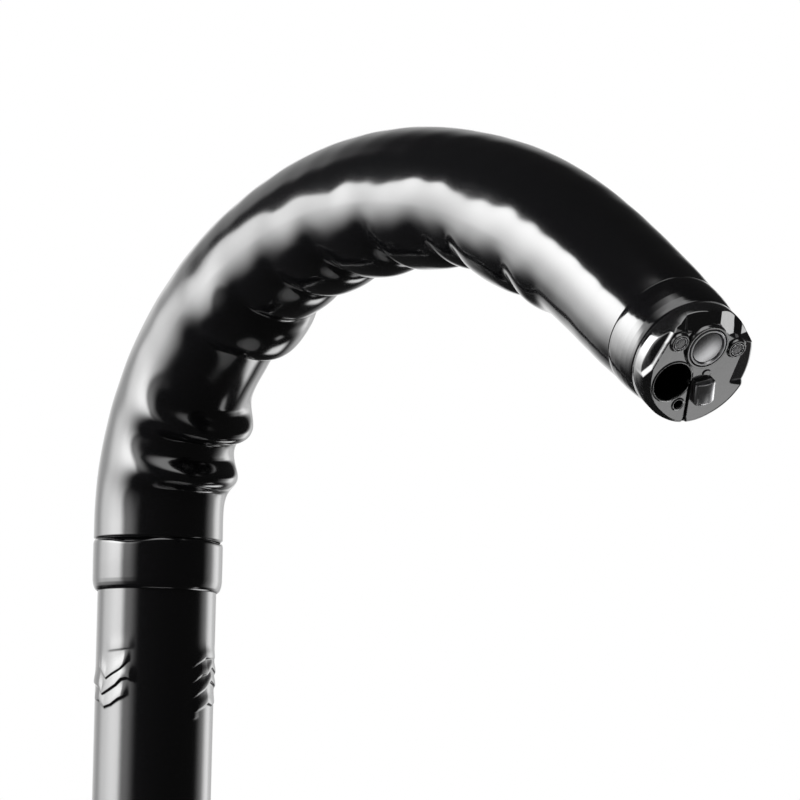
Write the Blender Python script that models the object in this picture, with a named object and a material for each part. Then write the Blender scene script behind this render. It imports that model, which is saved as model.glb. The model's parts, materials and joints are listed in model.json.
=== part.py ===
"""Distal end of a flexible endoscope: end of the insertion tube, angulating bending section, tip.

The tube stands on its cut end at the origin and rises along +Z. The bending section is a chain of
short rings hinged at right angles by turns, so the tip can be steered up and down in the XZ plane
and left and right across it. It rests curled towards +X. Four wires run through eyes in the rings.
Ring and tip sections are drawn with x towards the inside of that curl, y along the world Y axis
and z along the chain. Pieces of the tip count z from the flat of the tip face, towards the viewer.
"""

import math

import bmesh
import bpy
from mathutils import Matrix, Vector

MM = 0.001

# Ring chain. Its radius drives every width of the part
RING_RADIUS = 5.0 * MM
RING_WALL = 0.06 * RING_RADIUS
PITCH = 4.71 * MM  # from one hinge to the next
REST_BENDS = (23.5, 20.3, 16.5, 12.2, 12.9, 11.4, 9.2, 12.6, 5.3)  # degrees, up-down hinges, base first
HINGE_COUNT = 2 * len(REST_BENDS) - 1
RING_COUNT = HINGE_COUNT - 1
FLAT_HALF_ANGLE = math.radians(14.0)  # the rings are pressed flat round each pivot
RING_FLAT = RING_RADIUS * math.cos(FLAT_HALF_ANGLE)
RING_BORE_FLAT = (RING_RADIUS - RING_WALL) * math.cos(FLAT_HALF_ANGLE)
LUG_RADIUS = 1.15 * MM
LUG_GAP = 0.06 * MM
INNER_LUG_RADIUS = LUG_RADIUS - 0.05 * MM
INNER_LUG_THICKNESS = RING_WALL
LUG_OUTER = RING_BORE_FLAT - LUG_GAP
LUG_INNER = LUG_OUTER - INNER_LUG_THICKNESS
PIN_RADIUS = 0.46 * MM
PIN_CLEARANCE = 0.12 * MM
PIN_HEAD = 0.02 * RING_RADIUS
EDGE_ANGLE = math.radians(18.0)  # each edge slopes back this much, so two rings close at twice it
EDGE_GAP = 0.12 * MM
NOTCH_CLEARANCE = 0.20 * MM
STRAP_TOP = 2.75 * MM
JOGGLE_BOTTOM = 1.45 * MM
BASE_RING_SKIRT = 3.0 * MM
FAR = 3 * RING_RADIUS

# Pull wires and what guides them
WIRE_RADIUS = 0.04 * RING_RADIUS
WIRE_CIRCLE = 0.756 * RING_RADIUS
EYE_HOLE = 0.062 * RING_RADIUS
EYE_WALL = 0.022 * RING_RADIUS
EYE_HALF_WIDTH = 0.086 * RING_RADIUS
EYE_BOTTOM = 1.75 * MM
EYE_HEIGHT = 0.75 * MM
COIL_RADIUS = 0.096 * RING_RADIUS
COIL_BORE = 0.058 * RING_RADIUS

# Core of the bending section, centres in ring coordinates
CHANNEL_TUBE_RADIUS = 0.42 * RING_RADIUS
CHANNEL_BORE = 0.376 * RING_RADIUS
CHANNEL_CENTRE = (0.30 * RING_RADIUS, -0.30 * RING_RADIUS)
JET_CENTRE = (0.57 * RING_RADIUS, 0.21 * RING_RADIUS)
AIR_CENTRE = (0.02 * RING_RADIUS, 0.47 * RING_RADIUS)
WATER_CENTRE = (0.32 * RING_RADIUS, 0.46 * RING_RADIUS)
SMALL_TUBE_RADIUS = 0.12 * RING_RADIUS
SMALL_TUBE_BORE = 0.6 * SMALL_TUBE_RADIUS
BUNDLE_RADIUS = 0.19 * RING_RADIUS
BUNDLE_LEFT_CENTRE = (-0.40 * RING_RADIUS, -0.51 * RING_RADIUS)
BUNDLE_RIGHT_CENTRE = (-0.40 * RING_RADIUS, 0.51 * RING_RADIUS)
CABLE_RADIUS = 0.22 * RING_RADIUS
CABLE_CENTRE = (-0.38 * RING_RADIUS, 0.02 * RING_RADIUS)

# Soft sleeves of the bending section, from the rings outwards
BRAID_GAP = 0.12 * MM
BRAID_WALL = 0.15 * MM
RUBBER_GAP = 0.06 * MM
RUBBER_WALL = 0.54 * MM
RUBBER_END_WALL = 0.39 * MM
RUBBER_BOUND_WALL = 0.29 * MM  # where the collar squeezes it
RUBBER_STRETCH = 0.07 * MM  # opens its bore over the tip cover
SLEEVE_CORNER = 1.5 * MM  # the sleeves cut each corner of the chain by this much
BRAID_BORE = RING_RADIUS + BRAID_GAP
RUBBER_BORE = BRAID_BORE + BRAID_WALL + RUBBER_GAP
RUBBER_RADIUS = RUBBER_BORE + RUBBER_WALL
RUBBER_END_RADIUS = RUBBER_BORE + RUBBER_END_WALL
RUBBER_BOUND_RADIUS = RUBBER_BORE + RUBBER_BOUND_WALL
RUBBER_TIP_BORE = RUBBER_BORE + RUBBER_STRETCH

# Folds of the rubber inside the curl, in pitches: start, crest, end, height, and 1 if it ends in a crease
FOLDS = (
    (0.796, 1.210, 1.932, 0.308, 0),
    (2.017, 2.527, 3.100, 0.372, 0),
    (4.671, 5.372, 6.157, 0.318, 1),
    (6.157, 6.858, 7.495, 0.149, 1),
    (7.495, 8.365, 8.981, 0.234, 1),
    (8.981, 9.958, 10.828, 0.270, 1),
    (10.828, 11.338, 12.548, 0.223, 1),
    (12.548, 13.036, 13.567, 0.089, 1),
    (13.567, 14.650, 15.478, 0.212, 1),
    (15.478, 16.030, 16.858, 0.132, 0),
)
CREASE_DEPTH = 0.064
LONGEST_ROW = 0.7

# Insertion tube, from its skin to its core
TUBE_STEP = 0.38 * MM  # the tube stands out this far over the rings
SKIN_WALL = 0.40 * MM
TUBE_BRAID_WALL = 0.15 * MM
SPIRAL_WALL = 0.13 * MM
SPIRAL_WIDTH = 4.6 * MM
SPIRAL_PITCH = 5.5 * MM
LAYER_GAP = 0.06 * MM
SPIRAL_GAP = 0.07 * MM
BASE_Z = 35.7 * MM  # height of the first straight of the chain above the tube's end
CORE_LOW = 0.3 * MM  # the layers and the core stop this far inside the end face
SEAT_GAP = 0.05 * MM
TUBE_RADIUS = RING_RADIUS + TUBE_STEP
SKIN_BORE = TUBE_RADIUS - SKIN_WALL

# Fitting on the tube's end
FERRULE_WALL = 0.67 * MM
FERRULE_HEIGHT = 8.0 * MM
FERRULE_LIP = 0.9 * MM
CRIMP_DEPTH = 0.25 * MM
CRIMP_WIDTH = 1.0 * MM
FERRULE_BORE = TUBE_RADIUS + SEAT_GAP
FERRULE_RADIUS = FERRULE_BORE + FERRULE_WALL
FERRULE_LIP_RADIUS = SKIN_BORE - 0.08 * MM

# Joint between the insertion tube and the bending section, heights from BASE_Z
COLLAR_WALL = 0.22 * MM
COLLAR_TOP = -1.55 * MM
COLLAR_BOTTOM = -6.15 * MM
COLLAR_SHOULDER = 0.75 * MM
SKIN_TOP = -5.85 * MM
RUBBER_LOW = -5.45 * MM
BRAID_LOW = -5.2 * MM
JOINT_SLEEVE_TOP = -1.0 * MM
JOINT_SLEEVE_SHOULDER = -3.1 * MM
JOINT_SLEEVE_BOTTOM = -8.1 * MM
JOINT_SLEEVE_BORE = 0.864 * RING_RADIUS
COIL_TOP = -3.4 * MM
COLLAR_BORE = RUBBER_BOUND_RADIUS + SEAT_GAP
COLLAR_RADIUS = COLLAR_BORE + COLLAR_WALL

# Tip, z from the flat of its face
FACE_FROM_LAST_HINGE = 17.27 * MM
FIT_GAP = 0.05 * MM
CUT_PAST = 1.0 * MM  # cutters reach this far past what they cut
COVER_LEDGE = 0.22 * MM
COVER_SLEEVE_WALL = 0.18 * MM
COVER_FRONT_WALL = 2.3 * MM
COVER_STEP = 2.45 * MM
COVER_REAR = 8.5 * MM
COVER_RIM = 0.30 * MM
COVER_SLEEVE_RADIUS = RUBBER_BORE - FIT_GAP
COVER_BORE = COVER_SLEEVE_RADIUS - COVER_SLEEVE_WALL
TIP_RADIUS = COVER_SLEEVE_RADIUS + COVER_LEDGE
BODY_FRONT = COVER_FRONT_WALL + 2 * FIT_GAP
BODY_SHOULDER = 10.4 * MM
BODY_REAR = 11.9 * MM
BODY_RADIUS = COVER_BORE - FIT_GAP
BODY_SPIGOT_RADIUS = RING_BORE_FLAT - LUG_GAP
DISTAL_RING_TOP = BODY_SHOULDER + 2 * FIT_GAP
RUBBER_END = 6.2 * MM
RUBBER_TAPER = 3.4 * MM
BAND_REAR = RUBBER_END - FIT_GAP
BAND_FRONT = COVER_STEP + FIT_GAP
BAND_FALL = 0.06 * MM
BRAID_END = 12.5 * MM

# Optics and openings of the tip face
LENS_CENTRE = (-0.418 * TIP_RADIUS, -0.082 * TIP_RADIUS)
LENS_RADIUS = 0.269 * TIP_RADIUS
LENS_SEAT = 0.6 * MM
LENS_CROWN = 0.10 * MM
LENS_INSET = 0.05 * MM
REAR_LENS_FRONT = 2.1 * MM
REAR_LENS_LENGTH = 1.3 * MM
BARREL_WALL = 0.27 * MM
BARREL_REAR = 7.4 * MM
BARREL_BORE = LENS_RADIUS + FIT_GAP
BARREL_RADIUS = BARREL_BORE + BARREL_WALL
BARREL_INSET = 0.02 * MM
CABLE_SPACE = 1.2 * MM
BARREL_SEAT = BARREL_REAR + CABLE_SPACE
SENSOR_LENGTH = 1.2 * MM
SENSOR_HALF = 0.62 * BARREL_BORE
SENSOR_REAR = BARREL_REAR - 4 * FIT_GAP
BOSS_HEIGHT = 0.35 * MM
BOSS_EDGE = 0.06 * MM
LENS_BOSS_RADIUS = BARREL_RADIUS + BOSS_HEIGHT
GUIDE_LEFT = (-0.445 * TIP_RADIUS, -0.636 * TIP_RADIUS)
GUIDE_RIGHT = (-0.433 * TIP_RADIUS, 0.518 * TIP_RADIUS)
GUIDE_LENS_RADIUS = 0.113 * TIP_RADIUS
GUIDE_BOSS_HEIGHT = 0.28 * MM
GUIDE_BOSS_RADIUS = GUIDE_LENS_RADIUS + GUIDE_BOSS_HEIGHT
GUIDE_INSET = 0.04 * MM
BUNDLE_TIP_RADIUS = 0.131 * TIP_RADIUS
BUNDLE_LEFT_TIP = (-0.418 * TIP_RADIUS, -0.591 * TIP_RADIUS)
BUNDLE_RIGHT_TIP = (-0.427 * TIP_RADIUS, 0.518 * TIP_RADIUS)
CHANNEL_FACE = (0.269 * TIP_RADIUS, -0.442 * TIP_RADIUS)
CHANNEL_PIPE_RADIUS = 0.408 * RING_RADIUS
JET_FACE = (0.665 * TIP_RADIUS, -0.145 * TIP_RADIUS)
JET_MIDDLE = (0.682 * TIP_RADIUS, 0.018 * TIP_RADIUS)
JET_FRONT = (0.673 * TIP_RADIUS, -0.131 * TIP_RADIUS)
JET_BORE = 0.42 * MM
PIPE_RADIUS = 0.45 * MM
PIPE_BORE = 0.30 * MM
AIR_REAR = (0.12 * RING_RADIUS, 0.50 * RING_RADIUS)
WATER_REAR = (0.35 * RING_RADIUS, 0.47 * RING_RADIUS)
AIR_MERGE = (0.236 * TIP_RADIUS, 0.364 * TIP_RADIUS)
WATER_MERGE = (0.455 * TIP_RADIUS, 0.309 * TIP_RADIUS)
MERGE_REAR = 5.0 * MM
MERGE_FRONT = 4.2 * MM

# Nozzle, its open end towards the lens
NOZZLE_CENTRE = (0.409 * TIP_RADIUS, 0.227 * TIP_RADIUS)
NOZZLE_STEM_RADIUS = 0.60 * MM
NOZZLE_BORE = 0.35 * MM
NOZZLE_FRONT = 1.25 * MM
NOZZLE_BACK = 0.95 * MM
NOZZLE_HALF_WIDTH = 1.0 * MM
NOZZLE_HEIGHT = 0.85 * MM
NOZZLE_SPRING = 0.35 * MM  # the arch of the hood starts at this height
NOZZLE_WALL = 0.20 * MM
NOZZLE_FLOOR = 0.14 * MM
NOZZLE_STEPS = 6

# Slopes and the groove of the tip face
LEFT_BEVEL = 0.864 * TIP_RADIUS
LEFT_BEVEL_ANGLE = math.radians(45.0)
RIGHT_BEVEL = 0.70 * TIP_RADIUS
RIGHT_BEVEL_END = 0.164 * TIP_RADIUS
RIGHT_BEVEL_ANGLE = math.radians(12.0)
SHOULDER_START = 0.564 * TIP_RADIUS  # the slope behind the lens starts here, above the lens boss
SHOULDER_RISE = 0.10 * MM
SHOULDER_ANGLE = math.radians(41.0)
GROOVE_START = (0.318 * TIP_RADIUS, -0.071 * TIP_RADIUS)
GROOVE_ANGLE = math.radians(16.4)
GROOVE_HALF_WIDTH = 0.12 * MM
GROOVE_DEPTH = 0.35 * MM

SIDES_ROUND = 20
SIDES_SPIRAL = 16
SIDES_LENS = 16
SIDES_CHANNEL = 12
SIDES_TUBE = 8
SIDES_WIRE = 6
STEPS_LUG = 4


def clear_scene():
    for item in list(bpy.data.objects):
        bpy.data.objects.remove(item, do_unlink=True)


def make_material(name, colour, roughness, metallic):
    material = bpy.data.materials.new(name)
    material.use_nodes = True
    shader = material.node_tree.nodes["Principled BSDF"]
    shader.inputs["Base Color"].default_value = (*colour, 1.0)
    shader.inputs["Roughness"].default_value = roughness
    shader.inputs["Metallic"].default_value = metallic
    return material


def new_object(name, vertices, faces, material=None):
    """One closed mesh with its faces turned outwards."""
    mesh = bpy.data.meshes.new(name)
    mesh.from_pydata([tuple(v) for v in vertices], [], faces)
    work = bmesh.new()
    work.from_mesh(mesh)
    bmesh.ops.recalc_face_normals(work, faces=work.faces)
    work.to_mesh(mesh)
    work.free()
    item = bpy.data.objects.new(name, mesh)
    bpy.context.scene.collection.objects.link(item)
    if material:
        mesh.materials.append(material)
    return item


def combine(body, operation, tool):
    """Joins the tool to the body, cuts it away or keeps what both share, and drops the tool."""
    modifier = body.modifiers.new("combine", "BOOLEAN")
    modifier.operation = operation
    modifier.solver = "EXACT"
    modifier.object = tool
    bpy.context.view_layer.update()
    evaluated = body.evaluated_get(bpy.context.evaluated_depsgraph_get())
    mesh = bpy.data.meshes.new_from_object(evaluated)
    body.modifiers.clear()
    body.data = mesh
    bpy.data.objects.remove(tool, do_unlink=True)
    return body


def finish(item, material, sharp_degrees=35.0):
    """Gives a piece its only material and shades it smooth with sharp edges kept."""
    item.data.materials.clear()
    item.data.materials.append(material)
    item.data.shade_smooth()
    item.data.set_sharp_from_angle(angle=math.radians(sharp_degrees))
    item.data.name = item.name
    return item


def circle(radius, sides, centre=(0.0, 0.0), turn=0.0):
    angles = [turn + 2 * math.pi * step / sides for step in range(sides)]
    return [(centre[0] + radius * math.cos(a), centre[1] + radius * math.sin(a)) for a in angles]


def arc(radius, start_degrees, end_degrees, steps, centre=(0.0, 0.0)):
    angles = [math.radians(start_degrees + (end_degrees - start_degrees) * step / steps)
              for step in range(steps + 1)]
    return [(centre[0] + radius * math.cos(a), centre[1] + radius * math.sin(a)) for a in angles]


def loft(name, loops, hollow_loops=None):
    """Skin over a row of loops, capped at both ends, or joined to a second row that lines its bore."""
    sides = len(loops[0])
    vertices = [point for loop in loops for point in loop]
    faces = []
    for row in range(len(loops) - 1):
        for side in range(sides):
            nxt = (side + 1) % sides
            faces.append((row * sides + side, row * sides + nxt,
                          (row + 1) * sides + nxt, (row + 1) * sides + side))
    last = (len(loops) - 1) * sides
    if hollow_loops is None:
        faces.append(tuple(reversed(range(sides))))
        faces.append(tuple(last + side for side in range(sides)))
        return new_object(name, vertices, faces)
    base = len(vertices)
    vertices += [point for loop in hollow_loops for point in loop]
    for row in range(len(hollow_loops) - 1):
        for side in range(sides):
            nxt = (side + 1) % sides
            faces.append((base + row * sides + nxt, base + row * sides + side,
                          base + (row + 1) * sides + side, base + (row + 1) * sides + nxt))
    inner_last = base + (len(hollow_loops) - 1) * sides
    for side in range(sides):
        nxt = (side + 1) % sides
        faces.append((nxt, side, base + side, base + nxt))
        faces.append((last + side, last + nxt, inner_last + nxt, inner_last + side))
    return new_object(name, vertices, faces)


def prism(name, outline, low, high, direction="Z"):
    """Outline carried along X, Y or Z. Its two numbers are YZ, XZ or XY places."""
    places = {"X": lambda a, b, c: (c, a, b), "Y": lambda a, b, c: (a, c, b),
              "Z": lambda a, b, c: (a, b, c)}[direction]
    return loft(name, [[places(a, b, level) for a, b in outline] for level in (low, high)])


def stacked(name, levels, sides, hollow_levels=None):
    """Round stack along Z. A level is (z, radius) or (z, radius, centre), so its holes may lean."""
    def loop(level):
        centre = level[2] if len(level) > 2 else (0.0, 0.0)
        return [(x, y, level[0]) for x, y in circle(level[1], sides, centre)]
    hollow = [loop(level) for level in hollow_levels] if hollow_levels else None
    return loft(name, [loop(level) for level in levels], hollow)


def between(low, high, share):
    return tuple(a + (b - a) * share for a, b in zip(low, high))


class Frame:
    """Place on the chain: its origin, the way to the inside of the curl, and the lean so far."""

    def __init__(self, origin, lean, stretch=1.0):
        self.origin = origin
        self.lean = lean
        self.inward = Vector((math.cos(lean), 0.0, -math.sin(lean))) * stretch
        self.along = Vector((math.sin(lean), 0.0, math.cos(lean)))

    def loop(self, radius, sides, centre=(0.0, 0.0)):
        across = Vector((0.0, 1.0, 0.0))
        return [self.origin + self.inward * x + across * y for x, y in circle(radius, sides, centre)]

    def ahead(self, distance):
        return Frame(self.origin + self.along * distance, self.lean)


def hinge_turn(number):
    """Rest turn of a hinge. Odd hinges bend up and down, even ones left and right."""
    return math.radians(REST_BENDS[(number - 1) // 2]) if number % 2 else 0.0


def hinge_frames():
    """Frames just above each hinge, after its turn, with the tube's end of the chain first."""
    frames = [Frame(Vector((0.0, 0.0, BASE_Z)), 0.0)]
    for number in range(1, HINGE_COUNT + 1):
        place = frames[-1].ahead(PITCH)
        frames.append(Frame(place.origin, place.lean + hinge_turn(number)))
    return frames


FRAMES = hinge_frames()
FACE = FRAMES[-1].ahead(FACE_FROM_LAST_HINGE)


def mitred_path():
    """Frames on the mitre plane of every hinge that is turned at rest."""
    path = []
    for number in range(1, HINGE_COUNT + 1, 2):
        turn = hinge_turn(number)
        lean = FRAMES[number - 1].lean + turn / 2
        path.append(Frame(FRAMES[number].origin, lean, 1 / math.cos(turn / 2)))
    return path


def cornered_path():
    """Frames of a sleeve that cuts each corner of the chain short by SLEEVE_CORNER."""
    path = []
    for number in range(1, HINGE_COUNT + 1, 2):
        turn = hinge_turn(number)
        before = FRAMES[number - 1]
        after = FRAMES[number]
        stretch = 1 / math.cos(turn / 4)
        path.append(Frame(after.origin - before.along * SLEEVE_CORNER, before.lean + turn / 4, stretch))
        path.append(Frame(after.origin + after.along * SLEEVE_CORNER, after.lean - turn / 4, stretch))
    return path


def curved_frame(along):
    """Frame at a distance along arcs that touch the straights halfway between turned hinges."""
    number = 2 * int(along / (2 * PITCH)) + 1
    if number > HINGE_COUNT:
        return FRAMES[-1].ahead(along - HINGE_COUNT * PITCH)
    turn = hinge_turn(number)
    start = FRAMES[number - 1]
    radius = PITCH / math.tan(turn / 2)
    lean = start.lean + turn * (along / PITCH - number + 1) / 2
    centre = start.origin + start.inward * radius
    return Frame(centre - Vector((math.cos(lean), 0.0, -math.sin(lean))) * radius, lean)


def core_piece(name, radius, bore, sides, centre, tip_route, material, low=CORE_LOW):
    """Tube or bundle that follows the chain at one place in the rings, then its route in the tip.

    The route holds (depth behind the face, centre) or (depth, centre, radius).
    """
    frames = [Frame(Vector((0.0, 0.0, low)), 0.0)] + mitred_path()
    places = [(frame, centre, radius) for frame in frames]
    for stop in tip_route:
        places.append((FACE.ahead(-stop[0]), stop[1], stop[2] if len(stop) > 2 else radius))
    outer = [frame.loop(r, sides, c) for frame, c, r in places]
    inner = [frame.loop(bore, sides, c) for frame, c, r in places] if bore else None
    return finish(loft(name, outer, inner), material)


def ring_outline(radius):
    """Section of a ring: an arc in each quarter between the four pressed flats."""
    flat = math.degrees(FLAT_HALF_ANGLE)
    outline = []
    for quarter in range(4):
        outline += arc(radius, 90 * quarter + flat, 90 * quarter + 90 - flat, 2)
    return outline


def upper_edge(length):
    """YZ outline below a ring's upper edge: two slopes with a round lug standing in the middle."""
    def slope(y):
        return length - EDGE_GAP - y * math.tan(EDGE_ANGLE)
    lug = arc(LUG_RADIUS, 180, 0, STEPS_LUG, (0.0, length))
    return ([(-FAR, -FAR), (-FAR, slope(FAR)), (-LUG_RADIUS, slope(LUG_RADIUS))] + lug
            + [(LUG_RADIUS, slope(LUG_RADIUS)), (FAR, slope(FAR)), (FAR, -FAR)])


def lower_edge(top):
    """XZ outline above a ring's lower edge: two slopes and a notch round the lug of the ring below."""
    notch = LUG_RADIUS + NOTCH_CLEARANCE
    meet = EDGE_ANGLE + math.asin(EDGE_GAP * math.cos(EDGE_ANGLE) / notch)
    ends = math.degrees(meet)
    slope = EDGE_GAP + FAR * math.tan(EDGE_ANGLE)
    return [(-FAR, top), (-FAR, slope)] + arc(notch, 180 - ends, ends, STEPS_LUG) + [(FAR, slope), (FAR, top)]


def eye(side, bottom, inner_face):
    """Pressed loop that guides a wire. Side is +1 or -1 along Y."""
    tip = WIRE_CIRCLE - EYE_HOLE - EYE_WALL
    outline = [(-EYE_HALF_WIDTH, inner_face), (-EYE_HALF_WIDTH, tip), (EYE_HALF_WIDTH, tip),
               (EYE_HALF_WIDTH, inner_face)]
    return prism("eye", [(x, side * y) for x, y in outline], bottom, bottom + EYE_HEIGHT)


def eye_hole(side, bottom):
    outline = circle(EYE_HOLE, SIDES_WIRE, (0.0, side * WIRE_CIRCLE))
    return prism("hole", outline, bottom - EYE_HEIGHT, bottom + 2 * EYE_HEIGHT)


def quarter_turn(item):
    item.data.transform(Matrix.Rotation(math.pi / 2, 4, "Z"))
    return item


def ring_body(length, low, lugs_above, lugs_below):
    """Ring with its lower pivot at the origin, along Y, and its upper pivot at z = length, along X."""
    high = length + (FAR if lugs_above else 0.0)
    outer = [[(x, y, z) for x, y in ring_outline(RING_RADIUS)] for z in (low, high)]
    inner = [[(x, y, z) for x, y in ring_outline(RING_RADIUS - RING_WALL)] for z in (low, high)]
    ring = loft("ring", outer, inner)
    if lugs_above:
        combine(ring, "INTERSECT", prism("edge", upper_edge(length), -FAR, FAR, "X"))
        for side in (-1, 1):
            span = sorted((side * (RING_BORE_FLAT - RING_WALL), side * FAR))
            hole = circle(PIN_RADIUS + PIN_CLEARANCE, SIDES_WIRE, (0.0, length))
            combine(ring, "DIFFERENCE", prism("pin_hole", hole, *span, "X"))
    if lugs_below:
        combine(ring, "INTERSECT", prism("edge", lower_edge(high + FAR), -FAR, FAR, "Y"))
        for side in (-1, 1):
            add_inner_lug(ring, side)
    return ring


def add_inner_lug(ring, side):
    """Inner lug, the joggle that joins it to the wall, its rivet and the wire eye above it."""
    disc = arc(INNER_LUG_RADIUS, 180, 360, STEPS_LUG)
    strap = disc + [(INNER_LUG_RADIUS, STRAP_TOP), (-INNER_LUG_RADIUS, STRAP_TOP)]
    lug = prism("lug", strap, *sorted((side * LUG_INNER, side * LUG_OUTER)), "Y")
    half = INNER_LUG_RADIUS - PIN_HEAD
    joggle_outline = [(-half, JOGGLE_BOTTOM), (half, JOGGLE_BOTTOM),
                      (half, STRAP_TOP - PIN_HEAD), (-half, STRAP_TOP - PIN_HEAD)]
    middle = LUG_INNER + INNER_LUG_THICKNESS / 2
    joggle_span = sorted((side * middle, side * (RING_BORE_FLAT + RING_WALL / 2)))
    combine(lug, "UNION", prism("joggle", joggle_outline, *joggle_span, "Y"))
    pin = circle(PIN_RADIUS, SIDES_WIRE)
    pin_span = sorted((side * (LUG_INNER - PIN_HEAD), side * (RING_FLAT - LUG_GAP / 2)))
    combine(lug, "UNION", prism("pin", pin, *pin_span, "Y"))
    combine(lug, "UNION", eye(side, EYE_BOTTOM, middle))
    combine(lug, "DIFFERENCE", eye_hole(side, EYE_BOTTOM))
    combine(ring, "UNION", lug)


def build_rings(steel, base, joints):
    """Base ring, the hinged rings that share one mesh, and the distal ring that carries the tip."""
    base_ring = quarter_turn(ring_body(BASE_RING_SKIRT + PITCH, 0.0, True, False))
    base_ring.name = "base_ring"
    finish(base_ring, steel)
    base_ring.parent = base
    base_ring.location = (0.0, 0.0, -BASE_RING_SKIRT)

    pattern = finish(ring_body(PITCH, -FAR, True, True), steel)
    for number in range(1, RING_COUNT + 1):
        ring = pattern if number == 1 else bpy.data.objects.new("ring", pattern.data)
        if number > 1:
            bpy.context.scene.collection.objects.link(ring)
        ring.name = f"ring_{number:02d}"
        ring.parent = joints[number - 1]
        ring.rotation_euler = (0.0, 0.0, 0.0 if number % 2 else math.pi / 2)

    length = FACE_FROM_LAST_HINGE - DISTAL_RING_TOP
    distal = ring_body(length, -FAR, False, True)
    anchors_at = STRAP_TOP + PIN_HEAD
    for side in (-1, 1):
        anchor = quarter_turn(eye(side, anchors_at, RING_BORE_FLAT + RING_WALL / 2))
        combine(distal, "UNION", anchor)
        combine(distal, "DIFFERENCE", quarter_turn(eye_hole(side, anchors_at)))
    distal.name = "distal_ring"
    finish(distal, steel)
    distal.parent = joints[-1]


def spiral_band(name, radius, hand, low, high, material):
    """Flat band wound on the core at one hand, with square ends."""
    steps = int(SIDES_SPIRAL * (high - low - SPIRAL_WIDTH) / SPIRAL_PITCH)
    loops = []
    for step in range(steps + 1):
        angle = 2 * math.pi * step / SIDES_SPIRAL
        x = math.cos(angle)
        y = math.sin(angle) * hand
        z = low + SPIRAL_PITCH * step / SIDES_SPIRAL
        inner = radius - SPIRAL_WALL
        loops.append([(inner * x, inner * y, z), (radius * x, radius * y, z),
                      (radius * x, radius * y, z + SPIRAL_WIDTH), (inner * x, inner * y, z + SPIRAL_WIDTH)])
    return finish(loft(name, loops), material)


def build_insertion_tube(mats):
    """Skin, braid, two spirals, core sleeve, end fitting, collar and the four coil pipes."""
    skin_low = FERRULE_LIP + LAYER_GAP
    skin_top = BASE_Z + SKIN_TOP
    skin = stacked("insertion_tube_skin", [(skin_low, TUBE_RADIUS), (skin_top, TUBE_RADIUS)], SIDES_ROUND,
                   [(skin_low, SKIN_BORE), (skin_top, SKIN_BORE)])
    finish(skin, mats["skin"])

    layers_top = BASE_Z + JOINT_SLEEVE_BOTTOM - LAYER_GAP
    braid_radius = SKIN_BORE - LAYER_GAP
    braid_bore = braid_radius - TUBE_BRAID_WALL
    braid = stacked("insertion_tube_braid", [(skin_low, braid_radius), (layers_top, braid_radius)],
                    SIDES_ROUND, [(skin_low, braid_bore), (layers_top, braid_bore)])
    finish(braid, mats["braid"])

    spiral_radius = braid_bore - SPIRAL_GAP
    spiral_band("flex_spiral_outer", spiral_radius, 1, CORE_LOW, layers_top, mats["spring"])
    spiral_band("flex_spiral_inner", spiral_radius - SPIRAL_WALL - LAYER_GAP, -1, CORE_LOW, layers_top,
                mats["spring"])

    build_ferrule(mats["ferrule"])
    build_joint_sleeve(mats["ferrule"], braid_radius)
    build_collar(mats["binding"])

    for name, angle in (("down", 0), ("right", 90), ("up", 180), ("left", 270)):
        place = (WIRE_CIRCLE * math.cos(math.radians(angle)), WIRE_CIRCLE * math.sin(math.radians(angle)))
        top = BASE_Z + COIL_TOP
        pipe = stacked(f"coil_pipe_{name}", [(CORE_LOW, COIL_RADIUS, place), (top, COIL_RADIUS, place)],
                       SIDES_TUBE, [(CORE_LOW, COIL_BORE, place), (top, COIL_BORE, place)])
        finish(pipe, mats["spring"])


def build_ferrule(material):
    """Crimped sleeve over the tube's end, with a lip under its layers and two crimp grooves."""
    groove = FERRULE_RADIUS - CRIMP_DEPTH
    edge = CRIMP_DEPTH
    levels = [(0.0, FERRULE_RADIUS - edge), (edge, FERRULE_RADIUS)]
    for share in (0.40, 0.66):
        start = FERRULE_HEIGHT * share
        levels += [(start, FERRULE_RADIUS), (start + edge, groove),
                   (start + CRIMP_WIDTH - edge, groove), (start + CRIMP_WIDTH, FERRULE_RADIUS)]
    levels += [(FERRULE_HEIGHT - edge, FERRULE_RADIUS), (FERRULE_HEIGHT, FERRULE_RADIUS - edge)]
    hollow = [(0.0, FERRULE_LIP_RADIUS), (FERRULE_LIP, FERRULE_LIP_RADIUS),
              (FERRULE_LIP, FERRULE_BORE), (FERRULE_HEIGHT, FERRULE_BORE)]
    finish(stacked("end_ferrule", levels, SIDES_ROUND, hollow), material)


def build_joint_sleeve(material, radius):
    """Short sleeve that joins the insertion tube's layers to the base ring, which slips over its nose."""
    nose = RING_BORE_FLAT - SEAT_GAP
    shoulder = BASE_Z + JOINT_SLEEVE_SHOULDER
    levels = [(BASE_Z + JOINT_SLEEVE_BOTTOM, radius), (shoulder, radius), (shoulder, nose),
              (BASE_Z + JOINT_SLEEVE_TOP, nose)]
    hollow = [(BASE_Z + JOINT_SLEEVE_BOTTOM, JOINT_SLEEVE_BORE),
              (BASE_Z + JOINT_SLEEVE_TOP, JOINT_SLEEVE_BORE)]
    finish(stacked("joint_sleeve", levels, SIDES_ROUND, hollow), material)


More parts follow.
